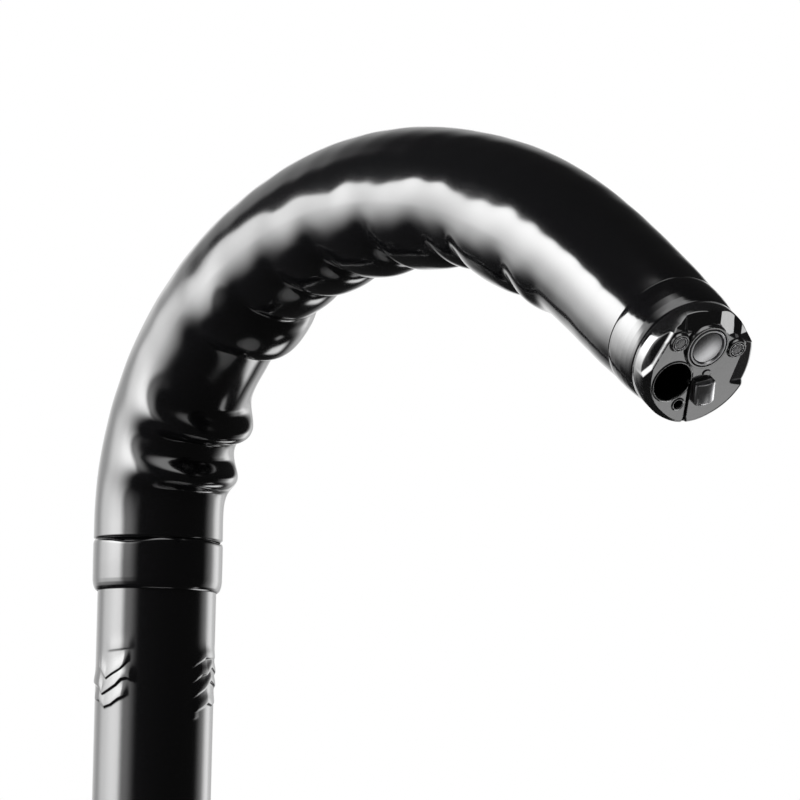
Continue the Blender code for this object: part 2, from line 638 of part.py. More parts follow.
def build_collar(material):
    """Thread and glue binding that holds the rubber's lower end and laps over the tube's skin."""
    top = BASE_Z + COLLAR_TOP
    bottom = BASE_Z + COLLAR_BOTTOM
    lap = BASE_Z + RUBBER_LOW - SEAT_GAP
    skin_seat = TUBE_RADIUS + SEAT_GAP
    fall = COLLAR_RADIUS - skin_seat
    levels = [(bottom, skin_seat + 0.15 * fall)]
    for share in (0.25, 0.5, 0.75, 1.0):
        angle = share * math.pi / 2
        levels.append((bottom + COLLAR_SHOULDER * (1 - math.cos(angle)),
                       skin_seat + fall * (0.15 + 0.85 * math.sin(angle))))
    levels += [(top - COLLAR_SHOULDER / 4, COLLAR_RADIUS), (top, COLLAR_RADIUS - COLLAR_SHOULDER / 8)]
    hollow = [(bottom, skin_seat), (lap, skin_seat), (lap, COLLAR_BORE), (top, COLLAR_BORE)]
    finish(stacked("proximal_collar", levels, SIDES_ROUND, hollow), material)


def fold_height(along):
    """Height of the folds at a distance along the chain, both in pitches, below zero in a crease.

    A fold rises as a quarter ellipse from its crease to its crest. It falls the same way to the next
    crease, or as half a cosine wave to the plain tube.
    """
    for start, crest, end, height, creased in FOLDS:
        if start <= along < end:
            rising = along < crest
            reach = (along - start) / (crest - start) if rising else (end - along) / (end - crest)
            if rising or creased:
                return (height + CREASE_DEPTH) * math.sqrt(1 - (1 - reach) ** 2) - CREASE_DEPTH
            return height * (1 - math.cos(math.pi * reach)) / 2
    return 0.0


def fold_rows(last):
    """Distances along the chain, in pitches, at which the rubber's outside is drawn."""
    marks = {0.0, last}
    for start, crest, end, _, _ in FOLDS:
        marks |= {start, start + 0.2 * (crest - start), crest, end - 0.3 * (end - crest), end}
    marks = sorted(marks)
    rows = [0.0]
    for low, high in zip(marks, marks[1:]):
        count = math.ceil((high - low) / LONGEST_ROW)
        rows += [low + (high - low) * step / count for step in range(1, count + 1)]
    return rows


def folded_loop(along):
    """Loop of the rubber's outside. Its folds fade from the inside of the curl to the flanks."""
    frame = curved_frame(along * PITCH)
    across = Vector((0.0, 1.0, 0.0))
    loop = []
    for x, y in circle(1.0, SIDES_ROUND):
        radius = RUBBER_RADIUS + fold_height(along) * PITCH * math.sqrt(max(x, 0.0))
        loop.append(frame.origin + (frame.inward * x + across * y) * radius)
    return loop


def build_sleeves(mats):
    """Wire braid over the rings and the rubber cover over the braid."""
    low = Frame(Vector((0.0, 0.0, BASE_Z + BRAID_LOW)), 0.0)
    corners = cornered_path()
    path = [low] + corners + [FACE.ahead(-BRAID_END)]
    outer = [frame.loop(BRAID_BORE + BRAID_WALL, SIDES_ROUND) for frame in path]
    inner = [frame.loop(BRAID_BORE, SIDES_ROUND) for frame in path]
    finish(loft("bending_braid", outer, inner), mats["braid"])

    bound_top = Frame(Vector((0.0, 0.0, BASE_Z + COLLAR_TOP)), 0.0)
    bottom = Frame(Vector((0.0, 0.0, BASE_Z + RUBBER_LOW)), 0.0)
    free = Frame(Vector((0.0, 0.0, BASE_Z + COLLAR_TOP + SEAT_GAP)), 0.0)
    outside = [frame.loop(RUBBER_BOUND_RADIUS, SIDES_ROUND) for frame in (bottom, bound_top)]
    outside.append(free.loop(RUBBER_RADIUS, SIDES_ROUND))
    taper_at = HINGE_COUNT + (FACE_FROM_LAST_HINGE - RUBBER_END - RUBBER_TAPER) / PITCH
    outside += [folded_loop(along) for along in fold_rows(taper_at)]
    outside.append(FACE.ahead(-RUBBER_END).loop(RUBBER_END_RADIUS, SIDES_ROUND))
    lining = [frame.loop(RUBBER_BORE, SIDES_ROUND) for frame in [bottom] + corners]
    lining += [FACE.ahead(-depth).loop(RUBBER_TIP_BORE, SIDES_ROUND) for depth in (BODY_SHOULDER, RUBBER_END)]
    finish(loft("bending_rubber", outside, lining), mats["rubber"])


def channel_centre(depth):
    """The channel leans outwards through the tip, from its place in the rings to the face."""
    return between(CHANNEL_FACE, CHANNEL_CENTRE, min(depth / BODY_REAR, 1.0))


def build_core(mats):
    """Channel, air, water and jet tubes, light bundles, image cable and pull wires."""
    tube_stop = BODY_SHOULDER + FIT_GAP
    core_piece("instrument_channel", CHANNEL_TUBE_RADIUS, CHANNEL_BORE, SIDES_CHANNEL, CHANNEL_CENTRE,
               [(BODY_REAR, CHANNEL_CENTRE), (tube_stop, channel_centre(tube_stop))], mats["tube"])
    routes = {"air_tube": (AIR_CENTRE, AIR_REAR), "water_tube": (WATER_CENTRE, WATER_REAR),
              "water_jet_tube": (JET_CENTRE, JET_CENTRE)}
    for name, (centre, rear) in routes.items():
        core_piece(name, SMALL_TUBE_RADIUS, SMALL_TUBE_BORE, SIDES_WIRE, centre,
                   [(BODY_REAR + FIT_GAP, rear)], mats["tube"])
    bundles = {"light_bundle_left": (BUNDLE_LEFT_CENTRE, BUNDLE_LEFT_TIP),
               "light_bundle_right": (BUNDLE_RIGHT_CENTRE, BUNDLE_RIGHT_TIP)}
    for name, (centre, tip) in bundles.items():
        core_piece(name, BUNDLE_RADIUS, None, SIDES_TUBE, centre,
                   [(BODY_REAR + 4 * FIT_GAP, centre), (BODY_REAR, centre, BUNDLE_TIP_RADIUS),
                    (BARREL_SEAT, tip, BUNDLE_TIP_RADIUS), (BODY_FRONT + FIT_GAP, tip, BUNDLE_TIP_RADIUS)],
                   mats["bundle"])
    core_piece("image_cable", CABLE_RADIUS, None, SIDES_TUBE, CABLE_CENTRE,
               [(BODY_REAR, CABLE_CENTRE), (BARREL_SEAT, LENS_CENTRE),
                (SENSOR_REAR + FIT_GAP, LENS_CENTRE)], mats["cable"])

    eye_top = FACE_FROM_LAST_HINGE - EYE_BOTTOM - EYE_HEIGHT
    anchor_top = FACE_FROM_LAST_HINGE - STRAP_TOP - PIN_HEAD - EYE_HEIGHT
    for name, angle, stop in (("down", 0, anchor_top), ("right", 90, eye_top),
                              ("up", 180, anchor_top), ("left", 270, eye_top)):
        place = (WIRE_CIRCLE * math.cos(math.radians(angle)), WIRE_CIRCLE * math.sin(math.radians(angle)))
        core_piece(f"pull_wire_{name}", WIRE_RADIUS, None, SIDES_WIRE, place, [(stop, place)], mats["wire"])


def build_tip(mats, carrier):
    """Tip body, cover, optics, pipes, nozzle and binding, drawn from the face and hung on the chain."""
    before = set(bpy.data.objects)
    build_tip_body(mats["body"])
    build_tip_cover(mats["cover"])
    build_optics(mats)
    build_pipes(mats["pipe"])
    build_nozzle(mats["nozzle"])
    build_band(mats["binding"])
    for piece in set(bpy.data.objects) - before:
        piece.parent = carrier
        piece.location = (0.0, 0.0, FACE_FROM_LAST_HINGE)


def build_tip_body(material):
    """Metal block with a spigot in the distal ring and bored for everything that reaches the face."""
    body = stacked("tip_body", [(-BODY_REAR, BODY_SPIGOT_RADIUS), (-BODY_SHOULDER, BODY_SPIGOT_RADIUS),
                                (-BODY_SHOULDER, BODY_RADIUS), (-BODY_FRONT, BODY_RADIUS)], SIDES_ROUND)
    rear = -BODY_REAR - CUT_PAST
    front = -BODY_FRONT + CUT_PAST
    step = BODY_SHOULDER
    wide = CHANNEL_TUBE_RADIUS + FIT_GAP
    narrow = CHANNEL_PIPE_RADIUS + FIT_GAP
    cutters = [
        stacked("cut", [(rear, wide, CHANNEL_CENTRE), (-BODY_REAR, wide, CHANNEL_CENTRE),
                        (-step, wide, channel_centre(step)), (-step, narrow, channel_centre(step)),
                        (-BODY_FRONT, narrow, channel_centre(BODY_FRONT)),
                        (front, narrow, channel_centre(BODY_FRONT))], SIDES_CHANNEL),
        stacked("cut", [(rear, CABLE_RADIUS + 3 * FIT_GAP, CABLE_CENTRE),
                        (-BODY_REAR, CABLE_RADIUS + 3 * FIT_GAP, CABLE_CENTRE),
                        (-BARREL_SEAT, CABLE_RADIUS + 3 * FIT_GAP, LENS_CENTRE),
                        (-BARREL_REAR - 4 * FIT_GAP, CABLE_RADIUS + 3 * FIT_GAP, LENS_CENTRE),
                        (-BARREL_REAR - 4 * FIT_GAP, BARREL_RADIUS + FIT_GAP, LENS_CENTRE),
                        (front, BARREL_RADIUS + FIT_GAP, LENS_CENTRE)], SIDES_LENS),
    ]
    for centre, tip in ((BUNDLE_LEFT_CENTRE, BUNDLE_LEFT_TIP), (BUNDLE_RIGHT_CENTRE, BUNDLE_RIGHT_TIP)):
        radius = BUNDLE_TIP_RADIUS + 1.5 * FIT_GAP
        cutters.append(stacked("cut", [(rear, radius, centre), (-BODY_REAR, radius, centre),
                                       (-BARREL_SEAT, radius, tip), (front, radius, tip)], SIDES_TUBE))
    pipe = PIPE_RADIUS + FIT_GAP
    cutters.append(stacked("cut", [(rear, pipe, JET_CENTRE), (-BODY_REAR, pipe, JET_CENTRE),
                                   (-BODY_REAR / 2, pipe, JET_MIDDLE), (-BODY_FRONT, pipe, JET_FRONT),
                                   (front, pipe, JET_FRONT)], SIDES_TUBE))
    for start, merge in ((AIR_REAR, AIR_MERGE), (WATER_REAR, WATER_MERGE)):
        cutters.append(stacked("cut", [(rear, pipe, start), (-BODY_REAR, pipe, start),
                                       (-MERGE_REAR + FIT_GAP, pipe, merge)], SIDES_TUBE))
    for cutter in cutters:
        combine(body, "DIFFERENCE", cutter)
    low = [min(a, b, c) - PIPE_BORE for a, b, c in zip(AIR_MERGE, WATER_MERGE, NOZZLE_CENTRE)]
    high = [max(a, b, c) + PIPE_BORE for a, b, c in zip(AIR_MERGE, WATER_MERGE, NOZZLE_CENTRE)]
    pocket = [(low[0], low[1]), (high[0], low[1]), (high[0], high[1]), (low[0], high[1])]
    combine(body, "DIFFERENCE", prism("cut", pocket, -MERGE_REAR, -MERGE_FRONT))
    stem = NOZZLE_STEM_RADIUS + FIT_GAP
    combine(body, "DIFFERENCE", stacked("cut", [(-MERGE_FRONT - FIT_GAP, stem, NOZZLE_CENTRE),
                                                (front, stem, NOZZLE_CENTRE)], SIDES_TUBE))
    body.name = "tip_body"
    finish(body, material)


def wedge(start, top, angle):
    """Outline of what lies above a slope that falls away from a place on the face."""
    fall = math.tan(angle)
    low, high = (start + FAR, top - FAR * fall), (start - FAR, top + FAR * fall)
    return [low, (start + FAR, 2 * FAR), (start - FAR, 2 * FAR), high]


def cover_slopes():
    """Cutters for the bevels on both sides, the slope behind the lens and the groove of the face."""
    left = [(-y, z) for y, z in wedge(LEFT_BEVEL, 0.0, LEFT_BEVEL_ANGLE)]
    right = wedge(RIGHT_BEVEL, 0.0, RIGHT_BEVEL_ANGLE)
    behind = [(-x, z) for x, z in wedge(SHOULDER_START, BOSS_HEIGHT + SHOULDER_RISE, SHOULDER_ANGLE)]
    groove = prism("cut", [(0.0, -GROOVE_HALF_WIDTH), (FAR, -GROOVE_HALF_WIDTH), (FAR, GROOVE_HALF_WIDTH),
                           (0.0, GROOVE_HALF_WIDTH)], -GROOVE_DEPTH, CUT_PAST)
    groove.data.transform(Matrix.Translation((*GROOVE_START, 0.0)) @ Matrix.Rotation(GROOVE_ANGLE, 4, "Z"))
    return [prism("cut", left, -FAR, FAR, "X"), prism("cut", right, -FAR, RIGHT_BEVEL_END, "X"),
            prism("cut", behind, -FAR, FAR, "Y"), groove]


def build_tip_cover(material):
    """Moulded cap: a sleeve over the tip body, a thick front with raised seats, and bevelled sides."""
    edge = COVER_RIM
    levels = [(-COVER_REAR, COVER_SLEEVE_RADIUS), (-COVER_STEP, COVER_SLEEVE_RADIUS),
              (-COVER_STEP, TIP_RADIUS), (-edge, TIP_RADIUS), (-0.3 * edge, TIP_RADIUS - 0.3 * edge),
              (0.0, TIP_RADIUS - edge)]
    cover = stacked("tip_cover", levels, SIDES_ROUND)
    for cutter in cover_slopes():
        combine(cover, "DIFFERENCE", cutter)
    seat = -COVER_FRONT_WALL / 2
    for centre, radius, height in ((LENS_CENTRE, LENS_BOSS_RADIUS, BOSS_HEIGHT),
                                   (GUIDE_LEFT, GUIDE_BOSS_RADIUS, GUIDE_BOSS_HEIGHT),
                                   (GUIDE_RIGHT, GUIDE_BOSS_RADIUS, GUIDE_BOSS_HEIGHT)):
        combine(cover, "UNION", stacked("boss", [(seat, radius, centre), (height - BOSS_EDGE, radius, centre),
                                                 (height, radius - BOSS_EDGE, centre)], SIDES_LENS))
    deep = -COVER_FRONT_WALL - CUT_PAST
    combine(cover, "DIFFERENCE", stacked("cut", [(-COVER_REAR - CUT_PAST, COVER_BORE),
                                                 (-COVER_FRONT_WALL, COVER_BORE)], SIDES_ROUND))
    mouth = -COVER_FRONT_WALL / 2
    pipe = CHANNEL_PIPE_RADIUS + FIT_GAP
    cuts = [stacked("cut", [(deep, BARREL_RADIUS + FIT_GAP, LENS_CENTRE),
                            (CUT_PAST, BARREL_RADIUS + FIT_GAP, LENS_CENTRE)], SIDES_LENS),
            stacked("cut", [(deep, pipe, channel_centre(COVER_FRONT_WALL)),
                            (mouth, pipe, channel_centre(-mouth)), (mouth, CHANNEL_BORE, CHANNEL_FACE),
                            (CUT_PAST, CHANNEL_BORE, CHANNEL_FACE)], SIDES_LENS),
            stacked("cut", [(deep, PIPE_RADIUS + FIT_GAP, JET_FRONT),
                            (mouth, PIPE_RADIUS + FIT_GAP, JET_FACE), (mouth, JET_BORE, JET_FACE),
                            (CUT_PAST, JET_BORE, JET_FACE)], SIDES_TUBE),
            stacked("cut", [(deep, NOZZLE_STEM_RADIUS + FIT_GAP, NOZZLE_CENTRE),
                            (CUT_PAST, NOZZLE_STEM_RADIUS + FIT_GAP, NOZZLE_CENTRE)], SIDES_TUBE)]
    for centre in (GUIDE_LEFT, GUIDE_RIGHT):
        hole = GUIDE_LENS_RADIUS + FIT_GAP
        cuts.append(stacked("cut", [(deep, hole, centre), (CUT_PAST, hole, centre)], SIDES_CHANNEL))
    for cut in cuts:
        combine(cover, "DIFFERENCE", cut)
    cover.name = "tip_cover"
    finish(cover, material)


def build_optics(mats):
    """Objective and its barrel, the rear lens, the image sensor and the two light guide lenses."""
    crown = BOSS_HEIGHT - LENS_INSET
    front = [(-LENS_SEAT, LENS_RADIUS), (crown - LENS_CROWN, LENS_RADIUS),
             (crown - 0.3 * LENS_CROWN, 0.6 * LENS_RADIUS), (crown, 0.15 * LENS_RADIUS)]
    finish(stacked("objective_lens", [(z, r, LENS_CENTRE) for z, r in front], SIDES_LENS), mats["glass"])
    rear = [(-REAR_LENS_FRONT - REAR_LENS_LENGTH * share, LENS_RADIUS * width, LENS_CENTRE)
            for share, width in ((1.0, 0.3), (0.85, 0.9), (0.77, 1.0), (0.23, 1.0), (0.15, 0.9), (0.0, 0.3))]
    finish(stacked("rear_lens", rear, SIDES_CHANNEL), mats["glass"])
    ends = (-BARREL_REAR, BOSS_HEIGHT - BARREL_INSET)
    barrel = stacked("lens_barrel", [(z, BARREL_RADIUS, LENS_CENTRE) for z in ends], SIDES_LENS,
                     [(z, BARREL_BORE, LENS_CENTRE) for z in ends])
    finish(barrel, mats["pipe"])
    x, y = LENS_CENTRE
    chip = [(x - SENSOR_HALF, y - SENSOR_HALF), (x + SENSOR_HALF, y - SENSOR_HALF),
            (x + SENSOR_HALF, y + SENSOR_HALF), (x - SENSOR_HALF, y + SENSOR_HALF)]
    finish(prism("image_sensor", chip, -SENSOR_REAR, SENSOR_LENGTH - SENSOR_REAR), mats["chip"])
    for name, centre in (("light_guide_lens_left", GUIDE_LEFT), ("light_guide_lens_right", GUIDE_RIGHT)):
        top = GUIDE_BOSS_HEIGHT - GUIDE_INSET
        levels = [(-COVER_FRONT_WALL, GUIDE_LENS_RADIUS, centre),
                  (top - BOSS_EDGE, GUIDE_LENS_RADIUS, centre), (top, 0.7 * GUIDE_LENS_RADIUS, centre)]
        finish(stacked(name, levels, SIDES_CHANNEL), mats["glass"])


def build_pipes(material):
    """Channel, jet, air and water pipes that line the bores of the tip body."""
    rear = BODY_SHOULDER - FIT_GAP
    mouth = COVER_FRONT_WALL / 2 + FIT_GAP
    places = [(-rear, channel_centre(rear)), (-mouth, channel_centre(mouth))]
    pipe = stacked("channel_pipe", [(z, CHANNEL_PIPE_RADIUS, c) for z, c in places], SIDES_CHANNEL,
                   [(z, CHANNEL_BORE, c) for z, c in places])
    finish(pipe, material)
    jet = [(-BODY_REAR, JET_CENTRE), (-BODY_REAR / 2, JET_MIDDLE), (-BODY_FRONT, JET_FRONT),
           (-mouth, between(JET_FACE, JET_FRONT, 0.1))]
    air = [(-BODY_REAR, AIR_REAR), (-MERGE_REAR - FIT_GAP, AIR_MERGE)]
    water = [(-BODY_REAR, WATER_REAR), (-MERGE_REAR - FIT_GAP, WATER_MERGE)]
    for name, route in (("water_jet_pipe", jet), ("air_pipe", air), ("water_pipe", water)):
        pipe = stacked(name, [(z, PIPE_RADIUS, c) for z, c in route], SIDES_TUBE,
                       [(z, PIPE_BORE, c) for z, c in route])
        finish(pipe, material)


def nozzle_arch(place, thinner, foot):
    """Section of the hood at a place along it: two upright sides and an arch between them."""
    side = NOZZLE_HALF_WIDTH - thinner
    rise = NOZZLE_HEIGHT - thinner - NOZZLE_SPRING
    arch = [(place, side * x, NOZZLE_SPRING + rise * z) for x, z in arc(1.0, 0, 180, NOZZLE_STEPS)]
    return [(place, side, foot)] + arch + [(place, -side, foot)]


def build_nozzle(material):
    """Arched hood on a hollow stem: its open end blows air and water across the lens."""
    foot = FIT_GAP / 2
    edge = NOZZLE_WALL / 4
    sections = ((-NOZZLE_FRONT, edge), (-NOZZLE_FRONT + edge, 0.0), (NOZZLE_BACK - NOZZLE_WALL, 0.0),
                (NOZZLE_BACK, NOZZLE_WALL))
    hood = loft("air_water_nozzle", [nozzle_arch(place, thinner, foot) for place, thinner in sections])
    combine(hood, "UNION", stacked("stem", [(-MERGE_FRONT, NOZZLE_STEM_RADIUS),
                                            (NOZZLE_FLOOR, NOZZLE_STEM_RADIUS)], SIDES_TUBE))
    combine(hood, "DIFFERENCE", stacked("bore", [(-MERGE_FRONT - CUT_PAST, NOZZLE_BORE),
                                                 (NOZZLE_SPRING, NOZZLE_BORE)], SIDES_WIRE))
    mouth = [nozzle_arch(place, NOZZLE_WALL, NOZZLE_FLOOR)
             for place in (-NOZZLE_FRONT - CUT_PAST, NOZZLE_BORE)]
    combine(hood, "DIFFERENCE", loft("mouth", mouth))
    reach = (LENS_CENTRE[0] - NOZZLE_CENTRE[0], LENS_CENTRE[1] - NOZZLE_CENTRE[1])
    turn = math.atan2(-reach[1], -reach[0])
    hood.data.transform(Matrix.Translation((*NOZZLE_CENTRE, 0.0)) @ Matrix.Rotation(turn, 4, "Z"))
    hood.name = "air_water_nozzle"
    finish(hood, material)


def build_band(material):
    """Thread and glue binding that holds the rubber's far end against the tip cover."""
    span = BAND_REAR - BAND_FRONT
    levels = [(-BAND_REAR, RUBBER_END_RADIUS), (-BAND_REAR + 0.3 * span, RUBBER_END_RADIUS),
              (-BAND_FRONT - 0.35 * span, RUBBER_END_RADIUS - BAND_FALL),
              (-BAND_FRONT - 0.1 * span, TIP_RADIUS), (-BAND_FRONT, TIP_RADIUS - BAND_FALL)]
    hollow = [(-BAND_REAR, COVER_SLEEVE_RADIUS + FIT_GAP), (-BAND_FRONT, COVER_SLEEVE_RADIUS + FIT_GAP)]
    finish(stacked("distal_band", levels, SIDES_ROUND, hollow), material)


def main():
    clear_scene()
    mats = {
        "skin": make_material("tube_skin_black", (0.012, 0.012, 0.013), 0.22, 0.0),
        "rubber": make_material("cover_rubber_black", (0.010, 0.010, 0.011), 0.18, 0.0),
        "binding": make_material("binding_black", (0.012, 0.012, 0.013), 0.15, 0.0),
        "braid": make_material("braid_steel", (0.55, 0.55, 0.56), 0.35, 1.0),
        "spring": make_material("spring_steel", (0.62, 0.62, 0.63), 0.3, 1.0),
        "ferrule": make_material("ferrule_steel", (0.66, 0.66, 0.67), 0.25, 1.0),
        "ring": make_material("ring_steel", (0.6, 0.6, 0.61), 0.3, 1.0),
        "wire": make_material("wire_steel", (0.58, 0.58, 0.6), 0.3, 1.0),
        "body": make_material("tip_body_steel", (0.5, 0.5, 0.52), 0.3, 1.0),
        "cover": make_material("tip_cover_grey", (0.10, 0.10, 0.11), 0.25, 0.0),
        "pipe": make_material("pipe_steel", (0.64, 0.64, 0.65), 0.25, 1.0),
        "nozzle": make_material("nozzle_steel", (0.6, 0.6, 0.61), 0.2, 1.0),
        "glass": make_material("lens_glass", (0.55, 0.58, 0.6), 0.03, 0.0),
        "chip": make_material("sensor_black", (0.03, 0.03, 0.04), 0.3, 0.0),
        "tube": make_material("core_tube_white", (0.78, 0.78, 0.76), 0.4, 0.0),
        "bundle": make_material("bundle_sheath_grey", (0.25, 0.25, 0.26), 0.45, 0.0),
        "cable": make_material("cable_sheath_black", (0.04, 0.04, 0.045), 0.45, 0.0),
    }
    base = bpy.data.objects.new("chain_base", None)
    bpy.context.scene.collection.objects.link(base)
    base.location = (0.0, 0.0, BASE_Z)
    joints = []
    for number in range(1, HINGE_COUNT + 1):
        joint = bpy.data.objects.new(f"hinge_{number:02d}", None)
        bpy.context.scene.collection.objects.link(joint)
        joint.parent = joints[-1] if joints else base
        joint.location = (0.0, 0.0, PITCH)
        joint.rotation_euler = (0.0, hinge_turn(number), 0.0)
        joints.append(joint)

    build_insertion_tube(mats)
    build_rings(mats["ring"], base, joints)
    build_sleeves(mats)
    build_core(mats)
    build_tip(mats, joints[-1])
    bpy.context.view_layer.update()


main()
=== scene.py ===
import json
import math

import bmesh
import bpy
import numpy as np
from mathutils import Matrix, Vector


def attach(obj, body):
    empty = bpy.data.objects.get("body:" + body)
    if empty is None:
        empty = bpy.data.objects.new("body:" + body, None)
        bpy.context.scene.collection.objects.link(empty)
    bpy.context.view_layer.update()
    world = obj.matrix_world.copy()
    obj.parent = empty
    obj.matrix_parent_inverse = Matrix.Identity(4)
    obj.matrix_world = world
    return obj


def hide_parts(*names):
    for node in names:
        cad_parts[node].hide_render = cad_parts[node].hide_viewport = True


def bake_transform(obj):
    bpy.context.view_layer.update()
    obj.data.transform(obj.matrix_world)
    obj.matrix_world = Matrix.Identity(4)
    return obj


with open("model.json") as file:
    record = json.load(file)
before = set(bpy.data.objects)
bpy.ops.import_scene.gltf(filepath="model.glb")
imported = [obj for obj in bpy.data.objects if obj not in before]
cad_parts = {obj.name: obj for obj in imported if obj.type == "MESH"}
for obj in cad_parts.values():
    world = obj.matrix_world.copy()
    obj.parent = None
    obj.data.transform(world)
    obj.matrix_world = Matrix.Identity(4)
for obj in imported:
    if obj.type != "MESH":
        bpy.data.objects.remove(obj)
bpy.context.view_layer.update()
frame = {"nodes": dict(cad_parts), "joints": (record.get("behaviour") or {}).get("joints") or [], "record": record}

nodes = frame["nodes"]


# Ring chain
# Short steel rings riveted at right angles by turns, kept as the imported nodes. Every soft piece is laid
# along the line through their hinges, in millimetres from the chain's lower end and negative below it.
MM = 0.001
hinge_places = np.array([joint["pos_m"] for joint in frame["joints"]]) / MM
hinge_axes = np.array([joint["axis"] for joint in frame["joints"]])
mounts = {mount["name"]: mount for mount in frame["record"]["mounts"]}
tip_axis = np.array(mounts["channel_mouth"]["axis"])
PITCH = float(np.linalg.norm(hinge_places[1] - hinge_places[0]))
CHAIN_LOW = hinge_places[0, 2] - PITCH
HINGES = len(hinge_places)
# The hinges that curl the chain, and the lean of the straight stretch above and below each
turned = hinge_places[::2]
lean_above = np.append(np.arctan2(-hinge_axes[1::2, 2], hinge_axes[1::2, 0]),
                       np.arctan2(tip_axis[0], tip_axis[2]))
lean_below = np.append(0.0, lean_above[:-1])


def chain_place(along, corner=PITCH):
    """Points and leans at distances along the chain.

    Each turned hinge is rounded by an arc that touches the two straights a corner's length away from
    it, so the lean grows evenly over the arc and the point goes round the arc's centre.
    """
    along = np.asarray(along, float)
    which = np.clip(np.round((along / PITCH - 1) / 2), 0, len(turned) - 1).astype(int)
    offset = along - (2 * which + 1) * PITCH
    first = lean_below[which]
    turn = lean_above[which] - first
    share = np.clip((offset + corner) / (2 * corner), 0, 1)
    lean = first + turn * share
    beyond = offset - np.clip(offset, -corner, corner)
    start = turned[which] - corner * np.stack([np.sin(first), 0 * turn, np.cos(first)], -1)
    radius = corner / np.tan(turn / 2)
    arc = np.stack([np.cos(first) - np.cos(lean), 0 * turn, np.sin(lean) - np.sin(first)], -1)
    straight = np.stack([np.sin(lean), 0 * turn, np.cos(lean)], -1)
    return start + radius[:, None] * arc + beyond[:, None] * straight, lean


def new_finish(name, colour, roughness, metallic=0.0, **sockets):
    """Principled material with even values; other sockets are given by name, with _ for a space."""
    finish = bpy.data.materials.new(name)
    finish.use_nodes = True
    shader = finish.node_tree.nodes["Principled BSDF"]
    shader.inputs["Base Color"].default_value = (*colour, 1.0)
    shader.inputs["Roughness"].default_value = roughness
    shader.inputs["Metallic"].default_value = metallic
    for socket, value in sockets.items():
        shader.inputs[socket.replace("_", " ")].default_value = value
    return finish


def add_bump(finish, scale, distance, strength, texture="ShaderNodeTexNoise"):
    """Fine bump, so that no surface is perfectly even.

    Its height is a procedural texture of the object coordinates times the distance in metres.
    """
    tree = finish.node_tree
    place = tree.nodes.new("ShaderNodeTexCoord")
    pattern = tree.nodes.new(texture)
    pattern.inputs["Scale"].default_value = scale
    pattern.inputs["Detail"].default_value = 4.0
    bump = tree.nodes.new("ShaderNodeBump")
    bump.inputs["Strength"].default_value = strength
    bump.inputs["Distance"].default_value = distance
    tree.links.new(place.outputs["Object"], pattern.inputs["Vector"])
    tree.links.new(pattern.outputs[0], bump.inputs["Height"])
    tree.links.new(bump.outputs["Normal"], tree.nodes["Principled BSDF"].inputs["Normal"])


ring_finish = new_finish("pressed_stainless", (0.55, 0.55, 0.56), 0.3, 1.0)
add_bump(ring_finish, 1200.0, 0.00003, 0.35)
for name in ["base_ring", "distal_ring"] + [f"ring_{number:02d}" for number in range(1, HINGES)]:
    nodes[name].material_slots[0].material = ring_finish


# Insertion tube skin
# A black polymer tube extruded over the braid, very smooth and glossy. Where it has been bent sharply
# its skin has creased into a patch of short slanting folds on both flanks.
def circle_angles(sides):
    """Angles of evenly spaced points round a circle: a full turn times each point's share."""
    return np.arange(sides) * 2 * math.pi / sides


def sleeve_grid(along, radius, around, centre=(0.0, 0.0), corner=PITCH):
    """Grid of points: at each distance along the chain a circle of the given radius about the centre.

    A point lies the radius times its angle's cosine towards the inside of the curl and times its sine
    towards +Y.
    """
    points, lean = chain_place(along, corner)
    inward = np.stack([np.cos(lean), 0 * lean, -np.sin(lean)], -1)
    radius = radius[:, None] if np.ndim(radius) == 1 else radius
    radius = np.broadcast_to(radius, (len(along), len(around)))
    x = centre[0] + radius * np.cos(around)
    y = centre[1] + radius * np.sin(around)
    return points[:, None, :] + x[..., None] * inward[:, None, :] + y[..., None] * np.array([0.0, 1.0, 0.0])


def lay_surface(name, grid, closed_rows=True, normals=None, sharp=40.0):
    """Mesh of quads over a grid of points in millimetres whose columns run round.

    With closed_rows the last row joins the first, so a wall's outside, end, inside and other end make
    one shell. Otherwise each end row closes on its own middle. The faces are turned over where their
    corners' products add up to a negative volume.
    """
    rows, columns = grid.shape[:2]
    number = np.arange(rows * columns).reshape(rows, columns)
    low = number if closed_rows else number[:-1]
    high = np.roll(number, -1, 0) if closed_rows else number[1:]
    quads = np.stack([low, np.roll(low, -1, 1), np.roll(high, -1, 1), high], -1).reshape(-1, 4)
    points = grid.reshape(-1, 3)
    faces = quads.tolist()
    if not closed_rows:
        points = np.vstack([points, grid[0].mean(0), grid[-1].mean(0)])
        first, last = rows * columns, rows * columns + 1
        faces += np.stack([np.roll(number[0], -1), number[0], np.full(columns, first)], -1).tolist()
        faces += np.stack([number[-1], np.roll(number[-1], -1), np.full(columns, last)], -1).tolist()
    mesh = bpy.data.meshes.new(name)
    mesh.from_pydata((points * MM).tolist(), [], faces)
    a, b, c, d = points[quads].transpose(1, 0, 2)
    if (a * (np.cross(b, c) + np.cross(c, d))).sum() < 0:
        mesh.flip_normals()
    mesh.shade_smooth()
    if normals is None:
        mesh.set_sharp_from_angle(angle=math.radians(sharp))
    else:
        mesh.normals_split_custom_set_from_vertices(normals.reshape(-1, 3).tolist())
    piece = bpy.data.objects.new(name, mesh)
    bpy.context.scene.collection.objects.link(piece)
    return piece


def dress(piece, finish, body, node):
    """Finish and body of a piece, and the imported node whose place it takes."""
    piece.data.materials.append(finish)
    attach(piece, body)
    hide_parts(node)


